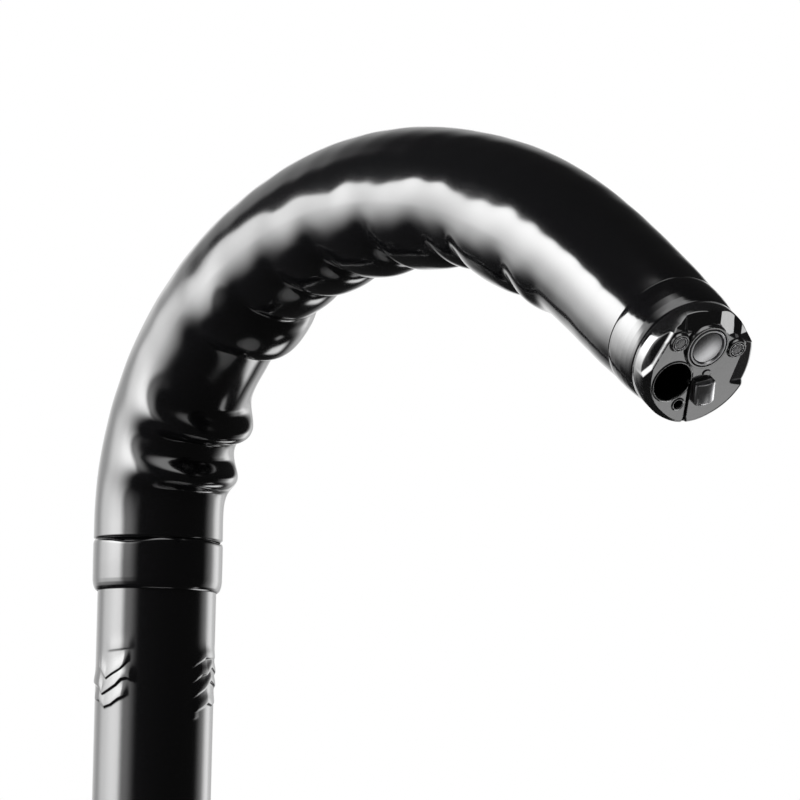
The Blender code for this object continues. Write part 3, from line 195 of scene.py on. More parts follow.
GLOSS = {"IOR": 1.6, "Coat_Weight": 1.0, "Coat_IOR": 1.7}
skin_finish = new_finish("insertion_tube_black", (0.006, 0.006, 0.007), 0.16, **GLOSS, Coat_Roughness=0.14)
add_bump(skin_finish, 900.0, 0.00003, 0.25)
SKIN_RADIUS = 5.38
SKIN_BORE = 4.98
SKIN_LOW = 0.96 - CHAIN_LOW
SKIN_TOP = -5.85
# The rows lie closest where the creases are.
skin_along = np.concatenate([np.linspace(SKIN_LOW, -18.5, 40), np.linspace(-18.4, -7.5, 300),
                             np.linspace(-7.4, SKIN_TOP, 20)])
skin_around = circle_angles(480)
# Each crease: its height, then the angle in degrees and distance in millimetres of the points it joins
CREASES = (
    (0.05, (-90, -11.67), (-72, -11.55), (-60, -11.46)),
    (0.15, (-103, -13.10), (-91, -14.19), (-83, -13.81), (-72, -13.35), (-64, -12.68)),
    (0.17, (-124, -14.36), (-102, -14.94), (-97, -15.62), (-86, -15.20), (-77, -14.78), (-71, -14.27),
     (-65, -14.15), (-57, -14.45)),
    (0.14, (-118, -15.95), (-102, -16.12), (-93, -16.75), (-83, -16.54), (-74, -16.04), (-65, -15.74)),
    (0.15, (0, -13.10), (20, -12.09), (45, -12.01)),
    (0.19, (2, -14.40), (14, -13.68), (23, -13.52), (32, -12.89), (48, -13.44)),
    (0.20, (3, -15.75), (20, -14.86), (30, -14.11), (48, -14.61)),
    (0.17, (4, -17.15), (25, -16.16), (36, -16.30), (46, -15.90)),
    (0.08, (0, -17.80), (10, -17.55)),
)
SLOW_FALL = 0.85
STEEP_FALL = 0.17
FADE_DEGREES = 9


def skin_offset(along, around):
    """Height of the creases over the plain tube.

    Each is a ridge along its joined points. It falls off as a bell curve of the distance from the
    line, slowly above it and steeply below it, and fades out smoothly at both ends.
    """
    degrees = (np.degrees(around) + 180) % 360 - 180
    rise = np.zeros((len(along), len(around)))
    for depth, *points in CREASES:
        angles, places = np.array(points, float).T
        across = along[:, None] - np.interp(degrees, angles, places)[None, :]
        ends = np.clip(np.minimum(degrees - angles[0], angles[-1] - degrees) / FADE_DEGREES + 0.4, 0, 1)
        shape = np.exp(-(across / np.where(across > 0, SLOW_FALL, STEEP_FALL)) ** 2)
        rise = np.maximum(rise, depth * shape * (ends * ends * (3 - 2 * ends))[None, :])
    return rise


skin_outer = sleeve_grid(skin_along, SKIN_RADIUS + skin_offset(skin_along, skin_around), skin_around)
skin_inner = sleeve_grid(skin_along[[-1, 0]], SKIN_BORE, skin_around)
insertion_skin = lay_surface("insertion_skin", np.concatenate([skin_outer, skin_inner]), sharp=70)
dress(insertion_skin, skin_finish, "shaft", "insertion_tube_skin")


# Insertion tube layers
# Under the skin lie a braid of fine steel wire and two flat spring spirals wound in opposite hands.
# They show only at the cut end, inside the ferrule.
steel_finish = new_finish("bright_spring_steel", (0.56, 0.56, 0.57), 0.28, 1.0)
add_bump(steel_finish, 2600.0, 0.00002, 0.3)
braid_finish = new_finish("braided_wire_steel", (0.50, 0.50, 0.51), 0.34, 1.0)
add_bump(braid_finish, 1500.0, 0.0001, 0.8, texture="ShaderNodeTexVoronoi")
nodes["insertion_tube_braid"].material_slots[0].material = braid_finish
for name in ("flex_spiral_outer", "flex_spiral_inner", "coil_pipe_up", "coil_pipe_down", "coil_pipe_left",
             "coil_pipe_right"):
    nodes[name].material_slots[0].material = steel_finish


# End ferrule
# A turned stainless sleeve over the tube's end, crimped in two grooves, with a lip that stops the layers.
def turn_round(name, profile, centre=(0.0, 0.0), sides=128, corner=PITCH, closed_rows=True, sharp=40.0):
    """Profile of (distance along the chain, radius) pairs, each carried round the centre as a circle."""
    along, radius = np.array(profile, float).T
    grid = sleeve_grid(along, radius, circle_angles(sides), centre, corner)
    return lay_surface(name, grid, closed_rows, sharp=sharp)


def softened(profile, radius, steps=5):
    """Closed profile with each corner replaced by a short arc-like curve.

    A corner's two neighbours at the given distance are joined by a quadratic curve that bends towards it.
    """
    points = np.array(profile, float)
    before = np.roll(points, 1, 0) - points
    after = np.roll(points, -1, 0) - points
    reach = [np.minimum(radius / np.maximum(np.linalg.norm(way, axis=1), 1e-9), 0.45)[:, None] * way
             for way in (before, after)]
    share = np.linspace(0, 1, steps)[None, :, None]
    start, end = points + reach[0], points + reach[1]
    curve = ((1 - share) ** 2 * start[:, None] + 2 * share * (1 - share) * points[:, None]
             + share ** 2 * end[:, None])
    return curve.reshape(-1, 2)


ferrule_finish = new_finish("turned_stainless", (0.60, 0.60, 0.61), 0.24, 1.0)
add_bump(ferrule_finish, 400.0, 0.00004, 0.25)
ferrule_profile = [(z - CHAIN_LOW, r) for z, r in (
    (0.0, 5.85), (0.25, 6.10), (3.2, 6.10), (3.45, 5.85), (3.95, 5.85), (4.2, 6.10), (5.28, 6.10),
    (5.53, 5.85), (6.03, 5.85), (6.28, 6.10), (7.75, 6.10), (8.0, 5.85), (8.0, 5.43), (0.9, 5.43),
    (0.9, 4.90), (0.0, 4.90))]
ferrule = turn_round("end_ferrule_turned", softened(ferrule_profile, 0.08), sharp=30)
dress(ferrule, ferrule_finish, "shaft", "end_ferrule")
nodes["joint_sleeve"].material_slots[0].material = ferrule_finish


# Proximal collar
# Thread wound over the rubber's lower end and sealed under glossy black resin, with rounded edges. Its
# top edge dips a little in two places.
binding_finish = new_finish("sealed_binding_black", (0.006, 0.006, 0.007), 0.12, **GLOSS,
                            Coat_Roughness=0.10)
add_bump(binding_finish, 700.0, 0.00005, 0.3)
COLLAR_TOP = -1.55
collar_profile = [
    (-6.15, 5.43), (-6.15, 5.50), (-6.05, 5.62), (-5.85, 5.73), (-5.55, 5.82), (-5.2, 5.87), (-3.6, 5.885),
    (-1.95, 5.88), (-1.72, 5.85), (COLLAR_TOP, 5.76), (COLLAR_TOP, 5.67), (-5.50, 5.67), (-5.50, 5.43)]
# Each dip: depth, then angle and width in degrees. The dips fade out down to DIPS_END.
DIPS = ((0.34, -64, 20), (0.20, 38, 18))
DIPS_END = -2.7
collar_along, collar_radius = softened(collar_profile, 0.04, 3).T
collar_around = circle_angles(240)
collar_grid = sleeve_grid(collar_along, collar_radius, collar_around)
collar_degrees = (np.degrees(collar_around) + 180) % 360 - 180
gap = sum(depth * np.exp(-((collar_degrees - angle) / width) ** 2) for depth, angle, width in DIPS)
dip = np.clip((collar_along - DIPS_END) / (COLLAR_TOP - DIPS_END), 0, 1)
collar_grid[..., 2] -= dip[:, None] * gap[None, :]
collar = lay_surface("proximal_collar_sealed", collar_grid, sharp=30)
dress(collar, binding_finish, "shaft", "proximal_collar")


# Rubber cover
# A thin black rubber tube over the chain. On the inside of the curl it has too much length, so it
# bulges into soft lobes with sharp creases between them that fade out on the flanks.
rubber_finish = new_finish("bending_rubber_black", (0.006, 0.006, 0.007), 0.14, **GLOSS,
                           Coat_Roughness=0.12)
add_bump(rubber_finish, 500.0, 0.00003, 0.3)
# The tip's face, as a distance along the chain
FACE_AT = HINGES * PITCH + 17.27
RUBBER_RADIUS = 5.86
RUBBER_BORE = 5.33
RUBBER_LOW = -5.45
RUBBER_STEP = 0.12
RUBBER_FAR_END = FACE_AT - 6.2
# Folds in pitches of the rings: start, crest, end, height, and 1 where the far side is a crease too
FOLDS = (
    (0.820, 1.185, 1.710, 0.308, 0), (2.105, 2.450, 3.010, 0.372, 0), (4.720, 5.330, 6.137, 0.318, 1),
    (6.137, 6.858, 7.470, 0.140, 1), (7.470, 8.345, 8.981, 0.234, 1), (8.981, 9.958, 10.790, 0.270, 1),
    (10.790, 11.320, 12.548, 0.223, 1), (12.548, 13.016, 13.500, 0.089, 1),
    (13.500, 14.600, 15.450, 0.212, 1), (15.450, 15.990, 16.758, 0.132, 0),
)
CREASE_DEPTH = 0.030
FINE_STEP = 0.01
ALONG_FINE = np.arange(-2.0, 21.0, FINE_STEP)


def fold_profile():
    """Height of the folds along the inside of the curl, in pitches.

    A fold rises as a quarter ellipse from its crease to its crest. It falls the same way to the next
    crease, or as half a cosine wave to the plain tube.
    """
    profile = np.zeros(len(ALONG_FINE))
    for start, crest, end, height, creased in FOLDS:
        rising = np.clip((ALONG_FINE - start) / (crest - start), 0, 1)
        falling = np.clip((end - ALONG_FINE) / (end - crest), 0, 1)
        steep = (height + CREASE_DEPTH) * np.sqrt(1 - (1 - np.minimum(rising, falling)) ** 2) - CREASE_DEPTH
        gentle = height * (1 - np.cos(math.pi * falling)) / 2
        shape = np.where((ALONG_FINE < crest) | (creased == 1), steep, gentle)
        profile = np.where((ALONG_FINE > start) & (ALONG_FINE < end), shape, profile)
    return profile


def softer(profile, spread):
    """Profile averaged with the weights of a bell curve of the given spread, in pitches."""
    reach = np.arange(-4 * spread, 4 * spread + FINE_STEP / 2, FINE_STEP)
    weights = np.exp(-0.5 * (reach / spread) ** 2)
    return np.convolve(profile, weights / weights.sum(), "same")


# Round the tube the folds pass from the first, sharp profile to the last, soft one.
SPREADS = (0.035, 0.11, 0.22, 0.36)
GAINS = (1.0, 1.05, 1.45, 1.9)
PROFILES = [gain * softer(fold_profile(), spread) for gain, spread in zip(GAINS, SPREADS)]
SWELLING = softer(fold_profile(), 0.80)
SHARP_TO = math.radians(20.0)
SOFT_FROM = math.radians(78.0)
FOLDS_END = math.radians(100.0)
RIPPLES_END = math.radians(107.0)
RIPPLE_POWER = 0.75


def fold_offset(along, around):
    """Folds on the inside of the curl, in millimetres.

    Round the tube the swelling under the folds falls by half a cosine wave to nothing just past the
    flanks. The folds on it last a little longer, and their creases soften on the way.
    """
    wrapped = np.abs((around + math.pi) % (2 * math.pi) - math.pi)
    fade = (1 + np.cos(math.pi * np.minimum(wrapped / FOLDS_END, 1))) / 2
    ripple_fade = ((1 + np.cos(math.pi * np.minimum(wrapped / RIPPLES_END, 1))) / 2) ** RIPPLE_POWER
    grade = np.clip((wrapped - SHARP_TO) / (SOFT_FROM - SHARP_TO), 0, 1) * (len(SPREADS) - 1)
    lower = np.minimum(grade.astype(int), len(SPREADS) - 2)
    share = grade - lower
    rows = np.stack([np.interp(along / PITCH, ALONG_FINE, profile) for profile in PROFILES], -1)
    folds = rows[:, lower] * (1 - share) + rows[:, lower + 1] * share
    swelling = np.interp(along / PITCH, ALONG_FINE, SWELLING)[:, None]
    return (swelling * fade + (folds - swelling) * np.maximum(fade, ripple_fade)) * PITCH


# Each slanting wave: height, turn in radians per millimetre along, waves round the tube, start
WAVES = ((0.004, 1.9, 5, 0.0), (0.005, 1.2, -4, 1.0), (0.008, 0.55, 3, 0.4))


def unevenness(along, around):
    """Faint waves of the stretched rubber: a cosine with a crest for each ring, and slanting sines."""
    a = along[:, None]
    waves = 0.007 * np.cos(2 * math.pi * a / PITCH + 0.6 * np.sin(around))
    for height, rate, count, start in WAVES:
        waves = waves + height * np.sin(rate * a + count * around + start)
    return waves * np.clip(a / PITCH, 0, 1)


FAR_NECK = 0.17
FAR_NECK_LENGTH = 3.5
LOW_NECK = 0.38
LOW_NECK_TOP = -1.38
LOW_NECK_LENGTH = 0.35


def rubber_outside(along, around):
    """Plain tube that necks down to its bound ends, plus the folds and the faint waves."""
    far = np.clip((along - (RUBBER_FAR_END - FAR_NECK_LENGTH)) / FAR_NECK_LENGTH, 0, 1)
    plain = RUBBER_RADIUS - FAR_NECK * far ** 1.5
    plain = plain - LOW_NECK * np.clip((LOW_NECK_TOP - along) / LOW_NECK_LENGTH, 0, 1)
    radius = plain[:, None] + unevenness(along, around) + fold_offset(along, around)
    return sleeve_grid(along, radius, around)


def grid_normals(grid):
    """Outward directions: the cross product of the steps to the neighbours round and along."""
    down = np.gradient(grid, axis=0)
    round_ = np.roll(grid, -1, 1) - np.roll(grid, 1, 1)
    out = np.cross(round_, down)
    return out / np.linalg.norm(out, axis=-1, keepdims=True)


def sleeve_part(name, low, high, step, outside, bore, around):
    """Length of a sleeve between two distances: outside, bore, and normals that match the next length's."""
    count = max(int(round((high - low) / step)), 2)
    along = np.linspace(low, high, count + 1)
    step = along[1] - along[0]
    padded = np.concatenate([[low - step], along, [high + step]])
    outer = outside(padded, around)
    inner = bore(padded[::-1], around)
    normals = np.concatenate([grid_normals(outer)[1:-1], grid_normals(inner)[1:-1]])
    grid = np.concatenate([outer[1:-1], inner[1:-1]])
    return lay_surface(name, grid, normals=normals)


CORE_CORNER = 1.5


def bend_with_hinge(piece):
    """The piece's place is baked into its mesh; it stays laid along the curled chain and does not turn with the
    hinge.
    """
    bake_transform(piece)


def lay_sleeve(title, low, high, step, outside, bore, around, finish, node):
    """Sleeve in one length for each hinge and one at each end, cut at the middles of the rings."""
    cuts = [low] + [(number - 0.5) * PITCH for number in range(1, HINGES + 2)] + [high]
    for number in range(HINGES + 2):
        ends = cuts[number:number + 2]
        piece = sleeve_part(f"{title}_{number:02d}", *ends, step, outside, bore, around)
        piece.data.materials.append(finish)
        if number in (0, HINGES + 1):
            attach(piece, "tip" if number else "shaft")
        else:
            bend_with_hinge(piece)
        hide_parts(node)


BORE_WIDENING = 0.07
BORE_WIDENED_FROM = FACE_AT - 10.4


def rubber_bore(along, around):
    """Even bore that grows by the widening over half a millimetre, before it goes over the tip cover."""
    wider = np.clip((along - BORE_WIDENED_FROM) / 0.5, 0, 1)
    return sleeve_grid(along, RUBBER_BORE + BORE_WIDENING * wider, around, corner=CORE_CORNER)


lay_sleeve("rubber_cover", RUBBER_LOW, RUBBER_FAR_END, RUBBER_STEP, rubber_outside, rubber_bore,
           circle_angles(180), rubber_finish, "bending_rubber")


# Braid of the bending section
# A sleeve of fine woven wire between the rings and the rubber. It lies along the chain's curl in one length for
# each hinge, as the rubber is.
BRAID_RADIUS = 5.27
BRAID_BORE = 5.12
PLAIN_STEP = 0.8


def braid_layer(radius):
    """Surface of the braid: the same radius at every distance."""
    return lambda along, around: sleeve_grid(along, radius, around, corner=CORE_CORNER)


lay_sleeve("chain_braid", -5.2, FACE_AT - 12.5, PLAIN_STEP, braid_layer(BRAID_RADIUS),
           braid_layer(BRAID_BORE), circle_angles(48), braid_finish, "bending_braid")


# Core
# White polymer tubes for the instrument channel, air, water and jet, two sheathed fibre bundles, the
# image cable and four stranded pull wires run through the rings, each in its own place.
tube_finish = new_finish("core_tube_white", (0.74, 0.74, 0.71), 0.35)
add_bump(tube_finish, 800.0, 0.00004, 0.3)
bundle_finish = new_finish("fibre_bundle_sheath", (0.22, 0.22, 0.23), 0.45)
add_bump(bundle_finish, 3000.0, 0.00004, 0.5)
cable_finish = new_finish("image_cable_sheath", (0.04, 0.04, 0.045), 0.4)
add_bump(cable_finish, 1200.0, 0.00004, 0.4)
wire_finish = new_finish("stranded_wire", (0.55, 0.55, 0.56), 0.3, 1.0)
add_bump(wire_finish, 4000.0, 0.00003, 0.6)
CORE_LOW = 0.3 - CHAIN_LOW
BODY_DEPTH = 11.9
HOLE_DEPTH = 8.6
WIRE_CIRCLE = 3.78


def core_line(centre, radius, stops):
    """Outside or bore of one core piece.

    Its centre and radius stay the same along the chain and go evenly from stop to stop in the tip.
    A stop is a depth below the face, a centre and how much wider the piece is there.
    """
    places = [(FACE_AT - BODY_DEPTH - 2.35, *centre, radius)]
    places += [(FACE_AT - depth, *middle, radius + wider) for depth, middle, wider in stops]
    places = np.array(places)

    def outside(along, around):
        """Circles of the radius, moved across the chain by the centre."""
        x, y, r = (np.interp(along, places[:, 0], places[:, column]) for column in (1, 2, 3))
        grid = sleeve_grid(along, r, around, corner=CORE_CORNER)
        points, lean = chain_place(along, CORE_CORNER)
        inward = np.stack([np.cos(lean), 0 * lean, -np.sin(lean)], -1)
        return grid + x[:, None, None] * inward[:, None, :] + y[:, None, None] * np.array([0.0, 1.0, 0.0])
    return outside


TUBE = (tube_finish, "core_tube")
BUNDLE = (bundle_finish, "bundle")
CABLE = (cable_finish, "cable")
WIRE = (wire_finish, "wire")
# Each: node, centre, radius, bore, looks and slot, depth of its end, centre there, widening, sides
CORE = (
    ("instrument_channel", (1.5, -1.5), 2.10, 1.88, TUBE, 10.45, (1.4824, -1.6133), 0.0, 48),
    ("air_tube", (0.1, 2.35), 0.60, 0.36, TUBE, 11.95, (0.6, 2.5), 0.0, 24),
    ("water_tube", (1.6, 2.3), 0.60, 0.36, TUBE, 11.95, (1.75, 2.35), 0.0, 24),
    ("water_jet_tube", (2.85, 1.05), 0.60, 0.36, TUBE, 11.95, (2.85, 1.05), 0.0, 24),
    ("light_bundle_left", (-2.0, -2.55), 0.95, 0.0, BUNDLE, 2.45, (-2.3, -3.25), -0.23, 24),
    ("light_bundle_right", (-2.0, 2.55), 0.95, 0.0, BUNDLE, 2.45, (-2.35, 2.85), -0.23, 24),
    ("image_cable", (-1.9, 0.1), 1.10, 0.0, CABLE, 7.25, (-2.30, -0.45), 0.0, 32),
    ("pull_wire_down", (WIRE_CIRCLE, 0.0), 0.20, 0.0, WIRE, 13.7, (WIRE_CIRCLE, 0.0), 0.0, 12),
    ("pull_wire_up", (-WIRE_CIRCLE, 0.0), 0.20, 0.0, WIRE, 13.7, (-WIRE_CIRCLE, 0.0), 0.0, 12),
    ("pull_wire_right", (0.0, WIRE_CIRCLE), 0.20, 0.0, WIRE, 14.77, (0.0, WIRE_CIRCLE), 0.0, 12),
    ("pull_wire_left", (0.0, -WIRE_CIRCLE), 0.20, 0.0, WIRE, 14.77, (0.0, -WIRE_CIRCLE), 0.0, 12),
)
for node, centre, radius, bore, (finish, slot), end_depth, end_centre, wider, sides in CORE:
    # Bundles and cable reach the line of their own holes at HOLE_DEPTH, the others at their ends.
    turn_at = HOLE_DEPTH if node.startswith(("light", "image")) else min(end_depth, BODY_DEPTH)
    stops = [(BODY_DEPTH, centre, wider), (turn_at - 0.01, end_centre, wider),
             (end_depth - 0.02, end_centre, wider)]
    if node == "instrument_channel":
        stops = [(BODY_DEPTH, centre, 0.0), (end_depth, end_centre, 0.0)]
    elif end_depth > BODY_DEPTH:
        stops = [(end_depth, end_centre, 0.0)]
    lay_sleeve(node, CORE_LOW, FACE_AT - end_depth, PLAIN_STEP, core_line(centre, radius, stops),
               core_line(centre, bore or 0.02 * radius, stops), circle_angles(sides), finish, node)


# Tip body and pipes
# A turned and bored steel block with thin pipes pressed into it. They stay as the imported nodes.
nodes["tip_body"].material_slots[0].material = ring_finish
for name in ("channel_pipe", "water_jet_pipe", "air_pipe", "water_pipe"):
    nodes[name].material_slots[0].material = steel_finish


# Distal band
# Thread wound over the rubber's far end and sealed under glossy black resin that tapers to the tip.
band_profile = [(FACE_AT + z, r) for z, r in (
    (-6.15, 5.33), (-6.15, 5.66), (-6.05, 5.72), (-5.6, 5.745), (-4.9, 5.735), (-4.1, 5.69), (-3.4, 5.61),
    (-2.9, 5.52), (-2.62, 5.45), (-2.5, 5.38), (-2.5, 5.33))]
band = turn_round("distal_band_sealed", softened(band_profile, 0.04, 3), sharp=30)
dress(band, binding_finish, "tip", "distal_band")


# Tip cover
# A moulded black cap. Its face has raised seats for the lens and the two lights, a slope behind
# them, the holes of the channel, jet and nozzle, a narrow slot, and bevels on both sides.
cover_finish = new_finish("tip_cover_black", (0.014, 0.014, 0.015), 0.13, IOR=1.9, Coat_Weight=1.0,
                          Coat_IOR=1.9, Coat_Roughness=0.11)
add_bump(cover_finish, 900.0, 0.00003, 0.25)
TIP_RADIUS = 5.5
SKIRT_RADIUS = 5.28
SKIRT_BORE = 5.10
SKIRT_END = -8.5
COVER_DEPTH = 2.3
INNER_FACE_RADIUS = 5.08
# Places on the face are towards the inside of the curl and towards +Y, from the middle.
LENS = (-2.30, -0.45)
GUIDES = ((-2.45, -3.50), (-2.38, 2.85))
CHANNEL_HOLE = (1.48, -2.43, 1.88)
JET_HOLE = (3.66, -0.80, 0.44)
BARREL_HOLE = (*LENS, 1.88)
STEM_HOLE = (2.25, 1.25, 0.66)
CLOSE_HOLES = (BARREL_HOLE, STEM_HOLE, (*GUIDES[0], 0.68), (*GUIDES[1], 0.68))
BOSS_HEIGHT = 0.35
GUIDE_HEIGHT = 0.28


def soft_step(value, width):
    """0 below zero, 1 above, with a smooth rise of the given width."""
    share = np.clip(value / width + 0.5, 0, 1)
    return share * share * (3 - 2 * share)


# Raised seats: centre, radius, height, and where the fairing behind the seat starts to fall
SEATS = ((LENS, 2.14, BOSS_HEIGHT, 1.90), (GUIDES[0], 0.90, GUIDE_HEIGHT, 0.72),
         (GUIDES[1], 0.90, GUIDE_HEIGHT, 0.55))
FAIRING_SLOPE = 0.90
FAIRING_TURN = math.radians(35.0)
GROOVE_START = (1.27, -0.53)
GROOVE_TURN = math.radians(16.4)
LEFT_EDGE, LEFT_STEP = 4.62, 0.42
RIGHT_EDGE, RIGHT_SLOPE = 3.70, 0.2126
MARK_RADIUS, MARK_HEIGHT = 0.42, 0.10
RIM_ROUND = 0.26
OPEN_HOLE_DEPTH, OPEN_HOLE_LIP = 1.15, 0.05
CLOSE_HOLE_DEPTH = 1.0


def fairing(x, y, centre, height, start):
    """Roof behind a seat: the lowest of a slope straight back and two flanks turned to either side."""
    back = centre[0] - x
    across = np.abs(y - centre[1])
    reach = np.maximum(back, math.cos(FAIRING_TURN) * back + math.sin(FAIRING_TURN) * across + 0.12)
    return height - FAIRING_SLOPE * np.maximum(reach - start, 0)


def face_height(x, y):
    """Height of the tip's face.

    The bevels and the fairings' roof are the lowest of their slopes. The seats rise out of them with
    soft steps, and the half-moon mark lies on top. The rim's edge falls by a bevel or a quarter circle,
    and the groove and the holes are soft steps down.
    """
    out = np.hypot(x, y)
    base = np.zeros_like(x)
    left_edge = y + LEFT_EDGE + 0.18 * (x + 2.3)
    base = base - LEFT_STEP * soft_step(-left_edge, 0.13) + np.minimum(left_edge, 0)
    base = base - RIGHT_SLOPE * np.maximum(y - RIGHT_EDGE, 0) * soft_step(0.95 - x, 0.5)
    roof = np.max([fairing(x, y, centre, height, start) for centre, _, height, start in SEATS], 0)
    base = np.minimum(base, roof + 0.7 * np.maximum(x + 3.6, 0))
    for centre, radius, height, _ in SEATS:
        seat = soft_step(radius - np.hypot(x - centre[0], y - centre[1]), 0.12)
        base = base + (np.maximum(height, base) - base) * seat * soft_step(x + 4.6, 0.5)
    mark = soft_step(MARK_RADIUS - np.hypot((x - 0.36) / 0.85, y - 0.85), 0.10)
    mark = mark * soft_step(0.52 - x, 0.08)
    base = base + MARK_HEIGHT * mark
    bevelled = soft_step(-y - 1.2, 2.8) * soft_step(x - 0.1, 2.2)
    edge = RIM_ROUND + 0.24 * bevelled + 0.16 * soft_step(y - 2.5, 2.0) - 0.18 * soft_step(-x - 2.6, 2.0)
    rim = np.clip(edge - (TIP_RADIUS - out), 0, edge)
    rounded = edge - np.sqrt(np.maximum(edge ** 2 - rim ** 2, 0))
    base = base - bevelled * rim - (1 - bevelled) * rounded
    along = (x - GROOVE_START[0]) * math.cos(GROOVE_TURN) + (y - GROOVE_START[1]) * math.sin(GROOVE_TURN)
    across = (y - GROOVE_START[1]) * math.cos(GROOVE_TURN) - (x - GROOVE_START[0]) * math.sin(GROOVE_TURN)
    half = 0.12 + 0.12 * np.clip((out - 4.9) / 0.5, 0, 1)
    deep = 0.40 - 0.25 * np.clip((out - 4.8) / 0.5, 0, 1)
    base = base - deep * soft_step(half - np.abs(across), 0.08) * soft_step(along, 0.1)
    for x0, y0, radius in (CHANNEL_HOLE, JET_HOLE):
        inside = radius - np.hypot(x - x0, y - y0)
        base = base - OPEN_HOLE_DEPTH * soft_step(inside - 0.035, 0.10)
        base = base + OPEN_HOLE_LIP * soft_step(inside + 0.16, 0.12)
    for x0, y0, radius in CLOSE_HOLES:
        inside = radius - np.hypot(x - x0, y - y0)
        base = base - CLOSE_HOLE_DEPTH * soft_step(inside - 0.02, 0.08)
    return base


def tip_cover_mesh():
    """Polar grid over the face, continued down the side, inside the sleeve and across the inner face.

    The two faces leave out the same cells at each hole, and quads join the edges of those gaps.
    """
    around = circle_angles(720)
    spokes = np.concatenate([[0.0], np.linspace(0.03, 5.1, 150), np.linspace(5.13, TIP_RADIUS, 26)])
    cells_out = len(spokes) - 1
    x = spokes[:, None] * np.cos(around)
    y = spokes[:, None] * np.sin(around)
    top = face_height(x, y)
    side = [(-1.9, TIP_RADIUS), (-2.35, TIP_RADIUS), (-2.45, TIP_RADIUS - 0.1), (-2.45, SKIRT_RADIUS),
            (SKIRT_END, SKIRT_RADIUS), (SKIRT_END, SKIRT_BORE), (-COVER_DEPTH, SKIRT_BORE)]
    side_heights, side_radii = np.array(side).T
    flat = np.full(cells_out, -COVER_DEPTH)
    rest = np.tile(np.concatenate([side_heights, flat])[:, None], len(around))
    heights = np.vstack([top, rest])
    inner_spokes = spokes[:-1][::-1] * (INNER_FACE_RADIUS / TIP_RADIUS)
    radii = np.concatenate([spokes, side_radii, inner_spokes])
    grid_x = radii[:, None] * np.cos(around)
    grid_y = radii[:, None] * np.sin(around)
    holes = np.zeros((cells_out, len(around)), bool)
    middle_x = (x[:-1] + x[1:] + np.roll(x[:-1], -1, 1) + np.roll(x[1:], -1, 1)) / 4
    middle_y = (y[:-1] + y[1:] + np.roll(y[:-1], -1, 1) + np.roll(y[1:], -1, 1)) / 4
    for x0, y0, radius in (CHANNEL_HOLE, JET_HOLE, *CLOSE_HOLES):
        holes |= np.hypot(middle_x - x0, middle_y - y0) < radius - 0.05
    rows, columns = len(radii), len(around)
    points, lean = chain_place(np.array([FACE_AT]))
    inward = np.array([math.cos(lean[0]), 0.0, -math.sin(lean[0])])
    outward = np.array([math.sin(lean[0]), 0.0, math.cos(lean[0])])
    places = (points[0] + grid_x[..., None] * inward + grid_y[..., None] * np.array([0.0, 1.0, 0.0])
              + heights[..., None] * outward)
    number = np.arange(rows * columns).reshape(rows, columns)
    cells = np.stack([number[:-1], number[1:], np.roll(number[1:], -1, 1), np.roll(number[:-1], -1, 1)], -1)
    keep = np.ones((rows - 1, columns), bool)
    keep[:cells_out] = ~holes
    keep[rows - 1 - cells_out:] = ~holes[::-1]
    front, back = number, number[::-1]
    row, column = np.nonzero(holes != np.roll(holes, 1, 1))
    along_spokes = np.stack([front[row, column], front[row + 1, column],
                             back[row + 1, column], back[row, column]], -1)
    row, column = np.nonzero(holes[1:] != holes[:-1])
    row = row + 1
    beside = (column + 1) % columns
    along_rings = np.stack([front[row, column], front[row, beside],
                            back[row, beside], back[row, column]], -1)
    return places.reshape(-1, 3), np.concatenate([cells[keep], along_spokes, along_rings])


cover_points, cover_faces = tip_cover_mesh()
cover_mesh = bpy.data.meshes.new("tip_cover_moulded")
cover_mesh.from_pydata((cover_points * MM).tolist(), [], cover_faces.tolist())
work = bmesh.new()
work.from_mesh(cover_mesh)
bmesh.ops.remove_doubles(work, verts=work.verts, dist=1e-7)
bmesh.ops.recalc_face_normals(work, faces=work.faces)
work.to_mesh(cover_mesh)
work.free()
cover_mesh.shade_smooth()
cover_mesh.set_sharp_from_angle(angle=math.radians(60))
tip_cover = bpy.data.objects.new("tip_cover_moulded", cover_mesh)
bpy.context.scene.collection.objects.link(tip_cover)
dress(tip_cover, cover_finish, "tip", "tip_cover")


# Optics
# A coated front lens in a steel barrel, the rear lens and the sensor behind it, and two small light
# guide lenses, each sealed flush in its seat.
barrel_finish = new_finish("turned_bezel", (0.78, 0.78, 0.79), 0.30, 1.0)
add_bump(barrel_finish, 900.0, 0.00003, 0.25)
sensor_finish = new_finish("sensor_package", (0.03, 0.03, 0.04), 0.3)
add_bump(sensor_finish, 1500.0, 0.00003, 0.3)
nodes["image_sensor"].material_slots[0].material = sensor_finish


def shade_by(finish, attribute, stops):
    """Colour of the material from a value stored on the mesh, through greys set at stops from 0 to 1."""
    tree = finish.node_tree
    value = tree.nodes.new("ShaderNodeAttribute")
    value.attribute_name = attribute
    ramp = tree.nodes.new("ShaderNodeValToRGB")
    points = ramp.color_ramp.elements
    while len(points) < len(stops):
        points.new(0.5)
    for point, (place, grey) in zip(points, stops):
        point.position = place
        point.color = (grey, grey, grey * 1.02, 1.0)
    tree.links.new(value.outputs["Fac"], ramp.inputs["Fac"])
    tree.links.new(ramp.outputs["Color"], tree.nodes["Principled BSDF"].inputs["Base Color"])


def store(piece, attribute, values):
    """One value from 0 to 1 for each of the mesh's points, as the attribute."""
    piece.data.attributes.new(attribute, "FLOAT", "POINT").data.foreach_set("value", np.clip(values, 0, 1))


